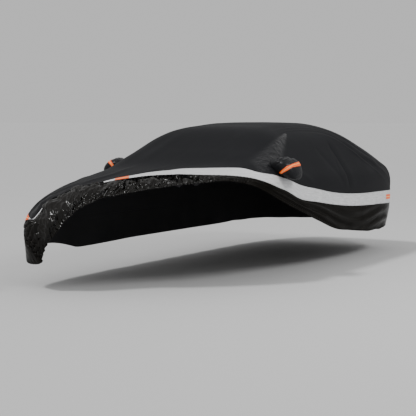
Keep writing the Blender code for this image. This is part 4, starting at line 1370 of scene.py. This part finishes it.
@dataclass(frozen=True)
class PaleFloor(Finish):
    """The studio floor."""

    name: str = "floor_pale"

    def make(self) -> bpy.types.Material:
        """One plain pale colour."""
        return Bench(self.name).done(Base_Color=rgb(0.61, 0.61, 0.61), Roughness=0.9,
                                     Specular_IOR_Level=0.1)


class Fabric(Enum):
    """The kinds of cloth, by their material slot in the record."""

    SHELL = "shell_fabric"
    SKIRT = "skirt_fabric"
    BAND = "band_reflective"
    TAPE = "tape_orange"


class Wardrobe:
    """All the finishes, each made once."""

    OUTSIDES = {Fabric.SHELL: MattShell(), Fabric.SKIRT: GlossySkirt(), Fabric.BAND: SilverBand(),
                Fabric.TAPE: EdgedTape()}

    def __init__(self) -> None:
        """Makes the outer finishes, then the cloth's back and the floor."""
        self.outside = {fabric: finish.make() for fabric, finish in self.OUTSIDES.items()}
        self.back = PlainBack().make()
        self.floor = PaleFloor().make()


# ---------------------------------------------------------------- the cover's pieces
@dataclass
class Piece:
    """What every sub-assembly has: its finishes, and how a piece is sewn and its CAD nodes hidden."""

    wardrobe: Wardrobe

    def finish(self, name: str, grid: Grid, fabric: Fabric, flat: tuple, area: float,
               rests_on: tuple = (), nodes: tuple = (), thickness: float = CLOTH) -> None:
        """Sews a piece and hides the CAD nodes that it stands for.

        Args:
            name: The name of the CAD node it stands for, unless nodes are given.
            grid: Its outer face.
            fabric: What it is made of.
            flat: Width and length of its cut in metres; not used.
            area: Area of its cut in square metres; not used.
            rests_on: What it lies on or hangs from; not used.
            nodes: The CAD nodes it stands for, where there are several.
            thickness: Distance between its two faces.
        """
        piece = sew(f"cloth_{name}", grid, self.wardrobe.outside[fabric], self.wardrobe.back, thickness)
        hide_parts(*(nodes or (name,)))


@dataclass
class CentrePanel(Piece):
    """Nose, bonnet, windscreen, roof, rear window and boot: one cloth between the roof seams."""

    columns: int = 200
    rows: int = 198
    flat: tuple = (2.95, 5.25)
    area: float = 8.2
    nodes: tuple = ("centre_bonnet", "centre_windscreen", "centre_roof", "centre_rear_window",
                    "centre_boot")

    def chart(self, u: Array, v: Array) -> Array:
        """A patch blended from its four edges: the band's at both ends and the two seams.

        Args:
            u: Shares across, from the near seam to the far one, (columns,).
            v: Shares along, from front to rear, (rows,).

        Returns:
            Chart places, (columns, rows, 2).
        """
        front_near, front_far = (EDGES.way(SEAM_FRONT[side]) for side in Side)
        rear_near, rear_far = (EDGES.way(SEAM_REAR[side]) for side in Side)
        front = EDGES.chart(Edge.TOP, front_near + (front_far - front_near) * u)
        rear = EDGES.chart(Edge.TOP, rear_near + (rear_far - EDGES.round - rear_near) * u)
        near, far = roof_seam(Side.NEAR)(v), roof_seam(Side.FAR)(v)
        across, along = u[:, None, None], v[None, :, None]
        chart = (1 - along) * front[:, None] + along * rear[:, None]
        chart = chart + (1 - across) * near[None] + across * far[None]
        corners = (1 - across) * ((1 - along) * front[0] + along * rear[0])
        return chart - corners - across * ((1 - along) * front[-1] + along * rear[-1])

    def build(self) -> None:
        """The patch, lifted by the shell's folds, with a welt at all four edges."""
        u, v = dense_ends(self.columns, 0.35), dense_ends(self.rows, 0.45)
        points, normals, shine = SHELL.cover(self.chart(u, v))
        seam = np.minimum(from_end(points, 0), from_end(points, 0, last=True))
        edge = np.minimum(from_end(points, 1), from_end(points, 1, last=True))
        points = points + normals * (welt(seam) + welt(edge) + seam_folds(seam, v[None]))[..., None]
        uv = np.stack([from_end(points, 0), from_end(points, 1)], -1)
        self.finish("centre_panel", Grid(points, normals, uv, shine), Fabric.SHELL, self.flat, self.area,
                    ("roof_rest",), self.nodes)


@dataclass
class Pocket:
    """Sizes of a hollow dome at a mirror, with x as on the near side."""

    middle: tuple
    half_length: float
    half_height: float
    depth: float
    axis: tuple
    swell: float
    sag: float
    tape: tuple  # the middle of its tape as dome places, down and rear
    squareness: float = 2.6


POCKETS = {
    Side.NEAR: Pocket((0.868, -0.678, 1.042), 0.128, 0.091, 0.188, (1.0, -0.05, 0.13), 1.22, 0.045,
                      ((0.500, -0.785), (0.262, -0.765), (0.100, -0.610), (0.016, -0.376),
                       (-0.022, -0.107), (-0.050, 0.140), (-0.065, 0.300))),
    Side.FAR: Pocket((0.900, -0.690, 1.010), 0.115, 0.085, 0.160, (1.0, -0.10, 0.17), 1.18, 0.030,
                     ((0.030, -0.935), (-0.133, -0.809), (-0.243, -0.638), (-0.283, -0.440),
                      (-0.262, -0.214), (-0.215, 0.000), (-0.150, 0.200))),
}


@dataclass
class MirrorPocket(Piece):
    """The pocket at a mirror, its tape, and the hole that it fills."""

    side: Side
    turns: int = 96
    rings: int = 54
    neck: float = 0.002
    in_hole: float = 0.993
    flat: tuple = (0.44, 0.50)
    area: float = 0.16
    streak_height: float = 0.014
    crumple_height: float = 0.004
    tape_width: float = 0.036
    tape_steps: int = 90
    tape_shape: tuple = (0.0012, 0.0010)  # its height over the pocket at its edges, and its crown
    tape_cut: float = 0.95  # area of its cut over width times length, for its rounded ends
    relief: Relief = Relief(23)

    @property
    def pocket(self) -> Pocket:
        """This side's sizes."""
        return POCKETS[self.side]

    @property
    def middle(self) -> Array:
        """Chart place of the mouth's middle, as on the near side."""
        return FORM.chart([self.pocket.middle])[0]

    def mouth(self, turn: Array, share: Array) -> Array:
        """Chart places at a share of the way from the middle to the mouth: a squared oval.

        Args:
            turn: Angles round the mouth.
            share: 0 at its middle, 1 on its edge.

        Returns:
            Chart places, (..., 2).
        """
        middle = self.middle
        power = 2.0 / self.pocket.squareness
        across = np.sign(np.cos(turn)) * np.abs(np.cos(turn)) ** power * self.pocket.half_height
        along = np.sign(np.sin(turn)) * np.abs(np.sin(turn)) ** power * self.pocket.half_length
        return np.stack([self.side.value * (middle[0] + across * share), middle[1] + along * share], -1)

    def reach(self, chart: Array) -> Array:
        """How far chart places are from the mouth's middle: 1 is on its edge.

        Args:
            chart: Chart places, (..., 2).

        Returns:
            Shares.
        """
        middle = self.middle
        across = np.abs(chart[..., 0] * self.side.value - middle[0]) / self.pocket.half_height
        along = np.abs(chart[..., 1] - middle[1]) / self.pocket.half_length
        power = self.pocket.squareness
        return (across**power + along**power) ** (1.0 / power)

    def onto_mouth(self, chart: Array) -> Array:
        """Moves chart places straight out from the middle, or in, on to the mouth's edge."""
        middle = self.middle * np.array([self.side.value, 1.0])
        return middle + (chart - middle) / self.reach(chart)[..., None]

    def dome(self, place: Array) -> Array:
        """Points of the pocket: a quarter turn from tip to mouth, leaning out along its axis.

        Args:
            place: Dome places (n, 2), down and rear, where the tip is 0, 0 and the mouth radius 1.

        Returns:
            Points, (n, 3).
        """
        pocket = self.pocket
        axis = np.array(pocket.axis) / np.linalg.norm(pocket.axis) * np.array([self.side.value, 1.0, 1.0])
        lean = 0.5 * np.pi * np.minimum(np.hypot(place[:, 0], place[:, 1]), 1.0)
        turn = np.arctan2(place[:, 1], place[:, 0])
        spread = np.sin(2.0 * lean)
        share = self.in_hole * np.sin(lean) ** 0.75 + (pocket.swell - 1.0) * spread
        base, normals, _ = SHELL.place(self.mouth(turn, share))
        out = np.maximum(np.cos(lean), 0.0)[:, None] ** 0.75 * pocket.depth
        drop = pocket.sag * spread * np.maximum(np.cos(turn), 0.0)
        return base + normals * self.neck + axis * out - np.array([0.0, 0.0, 1.0]) * drop[:, None]

    def surface(self, place: Array) -> tuple[Array, Array]:
        """Points and unit normals of the dome, from its slope down and to the rear.

        Args:
            place: Dome places, (n, 2).

        Returns:
            Points and normals, (n, 3) each.
        """
        tiny = 1e-3
        radius = np.maximum(np.hypot(*place.T), tiny)
        within = place * np.minimum(1.0, (1.0 - 2.0 * tiny) / radius)[:, None]
        down, rear = np.array([tiny, 0.0]), np.array([0.0, tiny])
        down_way = self.dome(within + down) - self.dome(within - down)
        rear_way = self.dome(within + rear) - self.dome(within - rear)
        normals = np.cross(down_way, rear_way) * self.side.value
        return self.dome(place), normals / np.linalg.norm(normals, axis=1, keepdims=True)

    def tape_line(self) -> Array:
        """The middle of the tape as dome places, (tape_steps, 2): one cubic near all its knots.

        Returns:
            Dome places, (tape_steps, 2).
        """
        knots = np.array(self.pocket.tape)
        step, at = np.arange(len(knots)), np.linspace(0.0, len(knots) - 1.0, self.tape_steps)
        return np.stack([np.polyval(np.polyfit(step, column, 3), at) for column in knots.T], -1)

    def wrinkled(self, place: Array) -> Array:
        """The pocket's folds: long ones from front to rear over its top, small crumples all over.

        The tape stiffens the cloth, so that they fade out beside it.

        Args:
            place: Dome places, (n, 2).

        Returns:
            Heights in metres, (n,).
        """
        down, rear = place[:, 0], place[:, 1]
        to_tape = np.linalg.norm(place[:, None] - self.tape_line()[None], axis=2).min(axis=1)
        inner = smoothstep(1.0, 0.75, np.hypot(down, rear)) * smoothstep(0.10, 0.42, to_tape)
        streaks = self.relief.crumpled(down * 5.2 + 0.6 * rear, rear * 1.3)
        crumples = self.relief.crumpled(down * 6.0 + 3.0, rear * 6.0, 2)
        top = smoothstep(0.35, -0.35, down)
        streaks = self.streak_height * (streaks - 0.45) * (0.45 + 0.55 * top)
        return inner * (streaks + self.crumple_height * (crumples - 0.5))

    def build(self) -> None:
        """The dome over turns and rings, and the tape over it."""
        turn = np.linspace(0.0, 2.0 * np.pi, self.turns + 1)[:, None]
        ring = np.linspace(0.0, 1.0, self.rings)[None, :] ** 0.85
        place = np.stack([np.cos(turn) * ring, np.sin(turn) * ring], -1).reshape(-1, 2)
        points, normals = self.surface(place)
        points = points + normals * self.wrinkled(place)[:, None]
        shape = (self.turns + 1, self.rings)
        index = np.arange(np.prod(shape)).reshape(shape)
        index[-1] = index[0]
        index[:, 0] = index[0, 0]
        shine = 0.55 + 0.3 * smoothstep(0.4, -0.4, place[:, 0])
        grid = Grid(points.reshape(*shape, 3), normals.reshape(*shape, 3),
                    (place * 0.2).reshape(*shape, 2), shine.reshape(shape), index)
        self.finish(f"mirror_pocket_{self.side.label}", grid, Fabric.SHELL, self.flat, self.area,
                    (f"side_panel_{self.side.label}",))
        self.build_tape()

    def build_tape(self) -> None:
        """The tape: its middle line smoothed, its width squared off, laid on the wrinkled dome."""
        middle = self.tape_line()
        heading = np.gradient(middle, axis=0)
        heading /= np.linalg.norm(heading, axis=1, keepdims=True)
        aside = np.stack([-heading[:, 1], heading[:, 0]], -1) * 0.02
        metres = np.linalg.norm(self.dome(middle + aside) - self.dome(middle - aside), axis=1)
        share = np.linspace(-1.0, 1.0, 13)
        place = middle[:, None] + (aside * (self.tape_width / metres)[:, None])[:, None] * share[:, None]
        shape = place.shape[:2]
        place = place.reshape(-1, 2)
        points, normals = self.surface(place)
        edge_height, crown = self.tape_shape
        height = edge_height + crown * (1.0 - np.tile(share, self.tape_steps) ** 4)
        points = (points + normals * (self.wrinkled(place) + height)[:, None]).reshape(*shape, 3)
        along = from_end(points, 0)
        uv = np.stack([along, np.broadcast_to(0.5 + 0.5 * share, shape)], -1)
        grid = Grid(points, normals.reshape(*shape, 3), uv, np.zeros(shape))
        length = float(along[-1].mean())
        self.finish(f"mirror_tape_{self.side.label}", grid, Fabric.TAPE, (self.tape_width, length),
                    self.tape_cut * self.tape_width * length,
                    (f"cloth_mirror_pocket_{self.side.label}",), thickness=TAPE)


@dataclass
class SidePanel(Piece):
    """The cloth of one side, from the band's upper edge up to the roof seam, round a pocket's hole."""

    side: Side
    columns: int = 300
    rows: int = 58
    flat: tuple = (0.80, 3.75)
    area: float = 1.75

    def open_hole(self, chart: Array) -> NDArray[np.bool_]:
        """Opens the pocket's hole: drops the cells in it and draws their rim on to its edge.

        Args:
            chart: The grid's chart places, (columns, rows, 2), changed in place.

        Returns:
            The cells that stay, (columns - 1, rows - 1).
        """
        pocket = MirrorPocket(self.wardrobe, self.side)
        reach = pocket.reach(chart)
        keep = 0.25 * (reach[:-1, :-1] + reach[1:, :-1] + reach[1:, 1:] + reach[:-1, 1:]) > 1.0
        shifts = [(i, j) for i in (0, 1) for j in (0, 1)]
        beside_open, beside_kept = (
            np.any([cells[i : i + self.columns, j : j + self.rows] for i, j in shifts], axis=0)
            for cells in (np.pad(~keep, 1), np.pad(keep, 1)))
        rim = beside_open & beside_kept
        chart[rim] = pocket.onto_mouth(chart[rim])
        return keep

    def build(self) -> None:
        """A patch ruled from the band's upper edge to the seam, its two ends drawn to points."""
        share, up = dense_ends(self.columns, 0.15), dense_ends(self.rows, 0.45)
        back_round = 0.0 if self.side is Side.NEAR else EDGES.round
        front, rear = (EDGES.way(place[self.side]) - back_round for place in (SEAM_FRONT, SEAM_REAR))
        low = EDGES.chart(Edge.TOP, front + (rear - front) * share)
        chart = ruled(low, roof_seam(self.side)(share), up)
        keep = self.open_hole(chart)
        points, normals, shine = SHELL.cover(chart)
        to_band, to_roof = from_end(points, 1), from_end(points, 1, last=True)
        height = welt(np.minimum(to_band, to_roof)) + seam_folds(to_roof, share[:, None])
        height = height * smoothstep(0.0, 0.04, share * (1 - share))[:, None]
        points = points + normals * height[..., None]
        uv = np.stack([from_end(points, 0), from_end(points, 1)], -1)
        index = np.arange(self.columns * self.rows).reshape(self.columns, self.rows)
        index[0], index[-1] = index[0, 0], index[-1, 0]
        self.finish(f"side_panel_{self.side.label}", Grid(points, normals, uv, shine, index, keep),
                    Fabric.SHELL, self.flat, self.area)


@dataclass
class Strip(Piece):
    """A stretch of the band or the skirt, from one section to another."""

    name: str
    first: str
    last: str
    columns: int
    rows: int
    flat: tuple
    area: float

    def laid(self, low: Edge, high: Edge, crowd: float) -> Laid:
        """The strip between two lines, its rows crowded towards both."""
        return lay(EDGES.span(self.first, self.last, self.columns), dense_ends(self.rows, crowd), low, high)


@dataclass
class Band(Strip):
    """The silver band."""

    wave: tuple = (0.0012, 0.23)  # height and length of its slow waves
    crush: tuple = (0.0022, 0.075)  # and of those where the skirt below is crushed
    relief: Relief = Relief(41)

    def build(self) -> None:
        """Flat between its edges but for slow waves, with a doubled edge above and below."""
        laid = self.laid(Edge.LOW, Edge.TOP, 0.55)
        edge = np.minimum(laid.from_low, laid.from_high)
        (wave, wave_length), (crush, crush_length) = self.wave, self.crush
        waves = wave * self.relief.soft(laid.way / wave_length, laid.up * 1.4)
        crumple = EDGES.stands(laid.way)[3]
        waves = waves + crush * crumple * self.relief.soft(laid.way / crush_length, laid.up * 1.3 + 4.0)
        height = laid.band_lift() + smoothstep(0.0, 0.03, edge) * waves + welt(edge, 0.010, 0.0012)
        grid = laid.grid(height, laid.from_low, edge)
        self.finish(self.name, grid, Fabric.BAND, self.flat, self.area)


@dataclass
class BandTape(Piece):
    """A short tape on the band."""

    name: str
    start: float  # the stretch of way it takes
    end: float
    margin: float  # share of the band that stays free above and below it
    width: float
    columns: int = 24
    rows: int = 9
    height: float = 0.0022  # over the band

    def build(self) -> None:
        """A grid over its stretch of way, a little proud of the band."""
        laid = lay(np.linspace(self.start, self.end, self.columns),
                   np.linspace(self.margin, 1.0 - self.margin, self.rows), Edge.LOW, Edge.TOP)
        height = laid.band_lift() + self.height
        across = np.broadcast_to(np.linspace(0.0, 1.0, self.rows), height.shape)
        grid = laid.grid(height, across, np.zeros(height.shape))
        flat = (self.width, self.end - self.start)
        self.finish(self.name, grid, Fabric.TAPE, flat, min(grid.area(), np.prod(flat)), thickness=TAPE)


@dataclass
class Skirt(Strip):
    """The glossy skirt below the band: hanging, swooping up a side, or crushed over the bonnet."""

    flute_pitch: float = 0.42  # metres of way from one hanging fold to the next
    flute_depth: float = 0.012
    swoop_depth: float = 0.018  # folds that sag along the near side
    swoop_count: float = 2.4  # how many of them lie between the hem and the band
    swoop_sag: float = 0.45  # how far they sag, as a share of the skirt's height
    swoop_lowest: float = 3.05  # where they are lowest, in metres of way
    swoop_half_length: float = 0.75
    swoop_start: tuple = (1.3, 1.9)  # they grow and fade over these stretches of way
    swoop_end: tuple = (7.4, 6.2)
    swoop_fine: float = 0.003  # small folds along them
    crush_pitches: tuple = (0.21, 0.145)  # metres of way between the ridges of its two sets
    crush_depth: float = 0.55
    crumple_pitch: float = 0.085
    crumple_height: float = 0.022
    small_height: float = 0.004
    slack_height: float = 0.003
    gather_pitch: float = 0.034  # puckers that the elastic makes in the hem
    gather_height: float = 0.0025
    gather_reach: float = 0.030
    held_ends: float = 0.10  # how far from its two ends the draped cloth is held
    least_room: float = 0.001  # how far draping may move a point outwards, where it's flat
    crushed_room: float = 0.023  # and how much further where it's crushed
    relief: Relief = Relief(57)

    def hanging_folds(self, laid: Laid) -> Array:
        """Heights of the flutes that open to the hem and the folds that sag along the near side.

        Args:
            laid: The strip.

        Returns:
            Heights in metres, (columns, rows).
        """
        way, up = laid.way, laid.up
        near_side = smoothstep(*self.swoop_start, way) * smoothstep(*self.swoop_end, way)
        flute = 0.5 + 0.5 * np.sin(2.0 * np.pi * way / self.flute_pitch + 1.3 * np.sin(way * 1.7))
        flutes = self.flute_depth * flute * (1.0 - up) ** 1.3 * (1.0 - 0.75 * near_side)
        sag = self.swoop_sag * np.exp(-(((way - self.swoop_lowest) / self.swoop_half_length) ** 2))
        phase = self.swoop_count * (up + sag) + 0.10 * np.sin(2.4 * way)
        swoop = 0.5 + 0.5 * np.cos(2.0 * np.pi * phase)
        fine = self.relief.crumpled(2.3 * phase + 0.3 * way, way / 0.55, 2)
        depth = self.swoop_depth * swoop + self.swoop_fine * fine
        return flutes + near_side * depth * np.sin(np.pi * up)

    def crush(self, laid: Laid) -> Array:
        """How much the crushed stretch sinks: two sets of slanting ridges, none at the band.

        Args:
            laid: The strip.

        Returns:
            Shares of its lift, (columns, rows).
        """
        way, up, (slant, cross) = laid.way, laid.up, self.crush_pitches
        slanted = 1.0 - np.abs(np.sin(np.pi * (way / slant + 0.7 * up + 0.35 * np.sin(3.1 * way))))
        crossed = 1.0 - np.abs(np.sin(np.pi * (way / cross - 1.1 * up + 0.4 * np.sin(4.7 * way + 1.0))))
        return self.crush_depth * (0.6 * slanted + 0.4 * crossed) * smoothstep(1.0, 0.75, up)

    def crumples(self, laid: Laid, crumple: Array) -> Array:
        """Sharp crumples of two sizes where it is crushed, and slack all over, none at the band.

        Args:
            laid: The strip.
            crumple: How crushed it is, 0 to 1, (columns, 1).

        Returns:
            Heights in metres, (columns, rows).
        """
        way, from_hem = laid.way, laid.from_low
        free = smoothstep(0.0, 0.06, laid.from_high) * (0.3 + 0.7 * smoothstep(0.0, 0.03, from_hem))
        big = self.relief.crumpled(way / self.crumple_pitch + 0.8 * from_hem / 0.16, from_hem / 0.15)
        small = self.relief.crumpled(way / 0.042 - from_hem / 0.060, from_hem / 0.055, 2)
        slack = self.relief.soft(way / 0.30, from_hem / 0.11)
        sharp = self.crumple_height * (big - 0.50) + self.small_height * (small - 0.5)
        return free * (crumple * sharp + self.slack_height * slack)

    def rise(self, laid: Laid) -> Array:
        """How far the cloth stands off the form: its folds, crumples, gathers and doubled edges.

        Args:
            laid: The strip.

        Returns:
            Heights in metres, (columns, rows).
        """
        up, from_hem = laid.up, laid.from_low
        low_lift, _, bulge, crumple = EDGES.stands(laid.way)
        crumple = np.clip(crumple, 0.0, 1.0)
        rise = 0.006 * crumple * (1.0 - up) + low_lift * (1.0 - (1.0 - up) ** 2)
        rise = rise + bulge * np.sin(np.pi * up)
        rise = rise * (1.0 - crumple * self.crush(laid)) + (1.0 - crumple) * self.hanging_folds(laid)
        rise = rise + self.crumples(laid, crumple)
        wander = 3.0 * self.relief.soft(laid.way / 0.09, 0.5 + 0.0 * up)
        gather = self.gather_height * np.sin(2.0 * np.pi * laid.way / self.gather_pitch + wander)
        rise = rise + gather * np.exp(-from_hem / self.gather_reach) * (1.0 - 0.5 * crumple)
        return rise + welt(from_hem, 0.016, 0.0016) + welt(laid.from_high, 0.010, 0.0012)

    def drape(self, grid: Grid, laid: Laid) -> Array:
        """Lets the crushed cloth buckle, held at the band and both ends, and caps its outward move.

        Args:
            grid: The strip with its folds.
            laid: The strip without them.

        Returns:
            The grid's points after it.
        """
        to_end = np.minimum(laid.way - laid.way[0], laid.way[-1] - laid.way)
        loose = grid.shine * smoothstep(0.0, 0.02, laid.from_high) * smoothstep(0.0, self.held_ends, to_end)
        loose = loose * (0.10 + 0.90 * smoothstep(0.0, 0.04, laid.from_low))
        moved = Buckle().run(f"drape_{self.name}", grid.points, loose)
        out = np.sum((moved - grid.points) * grid.normals, -1)
        crushed = grid.shine**3 * smoothstep(0.0, 0.10, laid.from_high)
        room = self.least_room + self.crushed_room * crushed
        surplus = np.where(out > 0.0, out - room * np.tanh(out / room), 0.0)
        return moved - grid.normals * surplus[..., None]

    def build(self) -> None:
        """The strip lifted by its folds, and draped by simulation where it is crushed."""
        laid = self.laid(Edge.HEM, Edge.LOW, 0.25)
        crumple = np.clip(EDGES.stands(laid.way)[3], 0.0, 1.0)
        shine = np.broadcast_to(crumple, laid.from_low.shape)
        grid = laid.grid(self.rise(laid), laid.from_low, shine)
        if crumple.max() > 0.5:
            grid.points = self.drape(grid, laid)
        self.finish(self.name, grid, Fabric.SKIRT, self.flat, self.area)


# Name, first and last section, columns, rows, flat size and area.
BANDS = (
    ("band_near", "near rear corner", "band's tip", 620, 14, (0.15, 5.65), 0.80),
    ("band_far", "band comes out", "far rear corner", 560, 14, (0.15, 5.55), 0.76),
    ("band_rear", "far rear corner", "near rear corner", 240, 14, (0.15, 2.85), 0.40),
)
SKIRTS = (
    ("skirt_near", "near rear corner", "wing", 421, 41, (0.32, 3.85), 0.95),
    ("skirt_front", "wing", "skirt's corner", 621, 49, (0.62, 3.30), 0.95),
    ("skirt_far", "skirt's corner", "far rear corner", 521, 45, (0.62, 4.95), 1.45),
    ("skirt_rear", "far rear corner", "near rear corner", 260, 36, (0.30, 2.85), 0.66),
)


def build_band_tapes(wardrobe: Wardrobe) -> None:
    """The four tapes on the band: slim ones at the rear, full-width ones at the front.

    Args:
        wardrobe: The finishes.
    """
    way = EDGES.way
    rear, turn = way("far rear corner"), way("round the corner")
    far_rear_length = (rear - way("far, behind wheel")) / 3.0
    nose = way("far front corner")
    slim, wide = (0.32, 0.058), (0.0, 0.100)  # margin and width
    tapes = (
        ("near_rear", way("near rear corner"), way("near rear turn"), slim),
        ("far_rear", rear - far_rear_length, rear, slim),
        ("far_front", nose + (turn - nose) * 0.6, turn + (way("skirt's corner") - turn) / 3.0, wide),
        ("near_front", way("tape, start"), way("tape, end"), wide),
    )
    for name, start, end, (margin, width) in tapes:
        BandTape(wardrobe, f"band_tape_{name}", start, end, margin, width).build()


# ---------------------------------------------------------------- studio
@dataclass
class Studio:
    """Floor, lights and camera."""

    wardrobe: Wardrobe
    camera_place: tuple = (5.627, -10.349, 0.033)
    camera_target: tuple = (-0.137, -0.628, -0.869)
    lens: float = 96.13  # millimetres on a 36 mm sensor
    floor_reach: float = 400.0

    def build(self) -> None:
        """Puts up the floor, the lights and the camera."""
        self.floor()
        self.sky()
        self.sun("key", (-3.0, -5.0, 8.0), 1.6, 9.0)
        self.softbox("softbox_near", (7.0, -1.0, 5.0), (0.0, 0.0, -0.7), 2.5, 300.0)
        self.camera()

    def floor(self) -> None:
        """A wide flat sheet at ground level."""
        reach = self.floor_reach
        corners = [(x * reach, y * reach, FLOOR) for x, y in ((-1, -1), (1, -1), (1, 1), (-1, 1))]
        mesh = bpy.data.meshes.new("floor")
        mesh.from_pydata(corners, [], [(0, 1, 2, 3)])
        mesh.materials.append(self.wardrobe.floor)
        put_up("floor", mesh)

    def sky(self) -> None:
        """An even pale surround."""
        world = bpy.data.worlds.new("surround")
        world.use_nodes = True
        background = world.node_tree.nodes["Background"]
        background.inputs["Color"].default_value = rgb(1.0, 1.0, 1.0)
        background.inputs["Strength"].default_value = 0.62
        bpy.context.scene.world = world

    def softbox(self, name: str, place: tuple, target: tuple, size: float, power: float) -> None:
        """A square area light turned to a target.

        Args:
            name: Its name.
            place: Where it is.
            target: What it looks at.
            size: Its side in metres.
            power: Its power in watts.
        """
        light = bpy.data.lights.new(name, "AREA")
        light.size = size
        light.energy = power
        self.aim(put_up(name, light), place, target)

    def sun(self, name: str, place: tuple, strength: float, spread: float) -> None:
        """A soft distant light, shining from a place to the middle.

        Args:
            name: Its name.
            place: Where it shines from.
            strength: Its strength.
            spread: Its width in degrees.
        """
        light = bpy.data.lights.new(name, "SUN")
        light.energy = strength
        light.angle = np.radians(spread)
        self.aim(put_up(name, light), place, (0.0, 0.0, -0.6))

    def camera(self) -> None:
        """The point of view, low and ahead of the near front corner."""
        lens = bpy.data.cameras.new("camera")
        lens.lens = self.lens
        lens.sensor_width = 36.0
        lens.clip_end = 1000.0
        camera = put_up("camera", lens)
        self.aim(camera, self.camera_place, self.camera_target)
        bpy.context.scene.camera = camera

    def aim(self, thing: bpy.types.Object, place: tuple, target: tuple) -> None:
        """Puts a light or camera in place, looking at a target with its top up."""
        thing.location = place
        thing.rotation_euler = (Vector(target) - Vector(place)).to_track_quat("-Z", "Y").to_euler()


def main() -> None:
    """Builds the cover piece by piece, then the studio."""
    logging.basicConfig(level=logging.INFO, format="%(name)s: %(message)s")
    wardrobe = Wardrobe()
    CentrePanel(wardrobe).build()
    for side in Side:
        SidePanel(wardrobe, side).build()
        MirrorPocket(wardrobe, side).build()
    for row in BANDS:
        Band(wardrobe, *row).build()
    for row in SKIRTS:
        Skirt(wardrobe, *row).build()
    build_band_tapes(wardrobe)
    Studio(wardrobe).build()


if __name__ == "__main__":
    main()
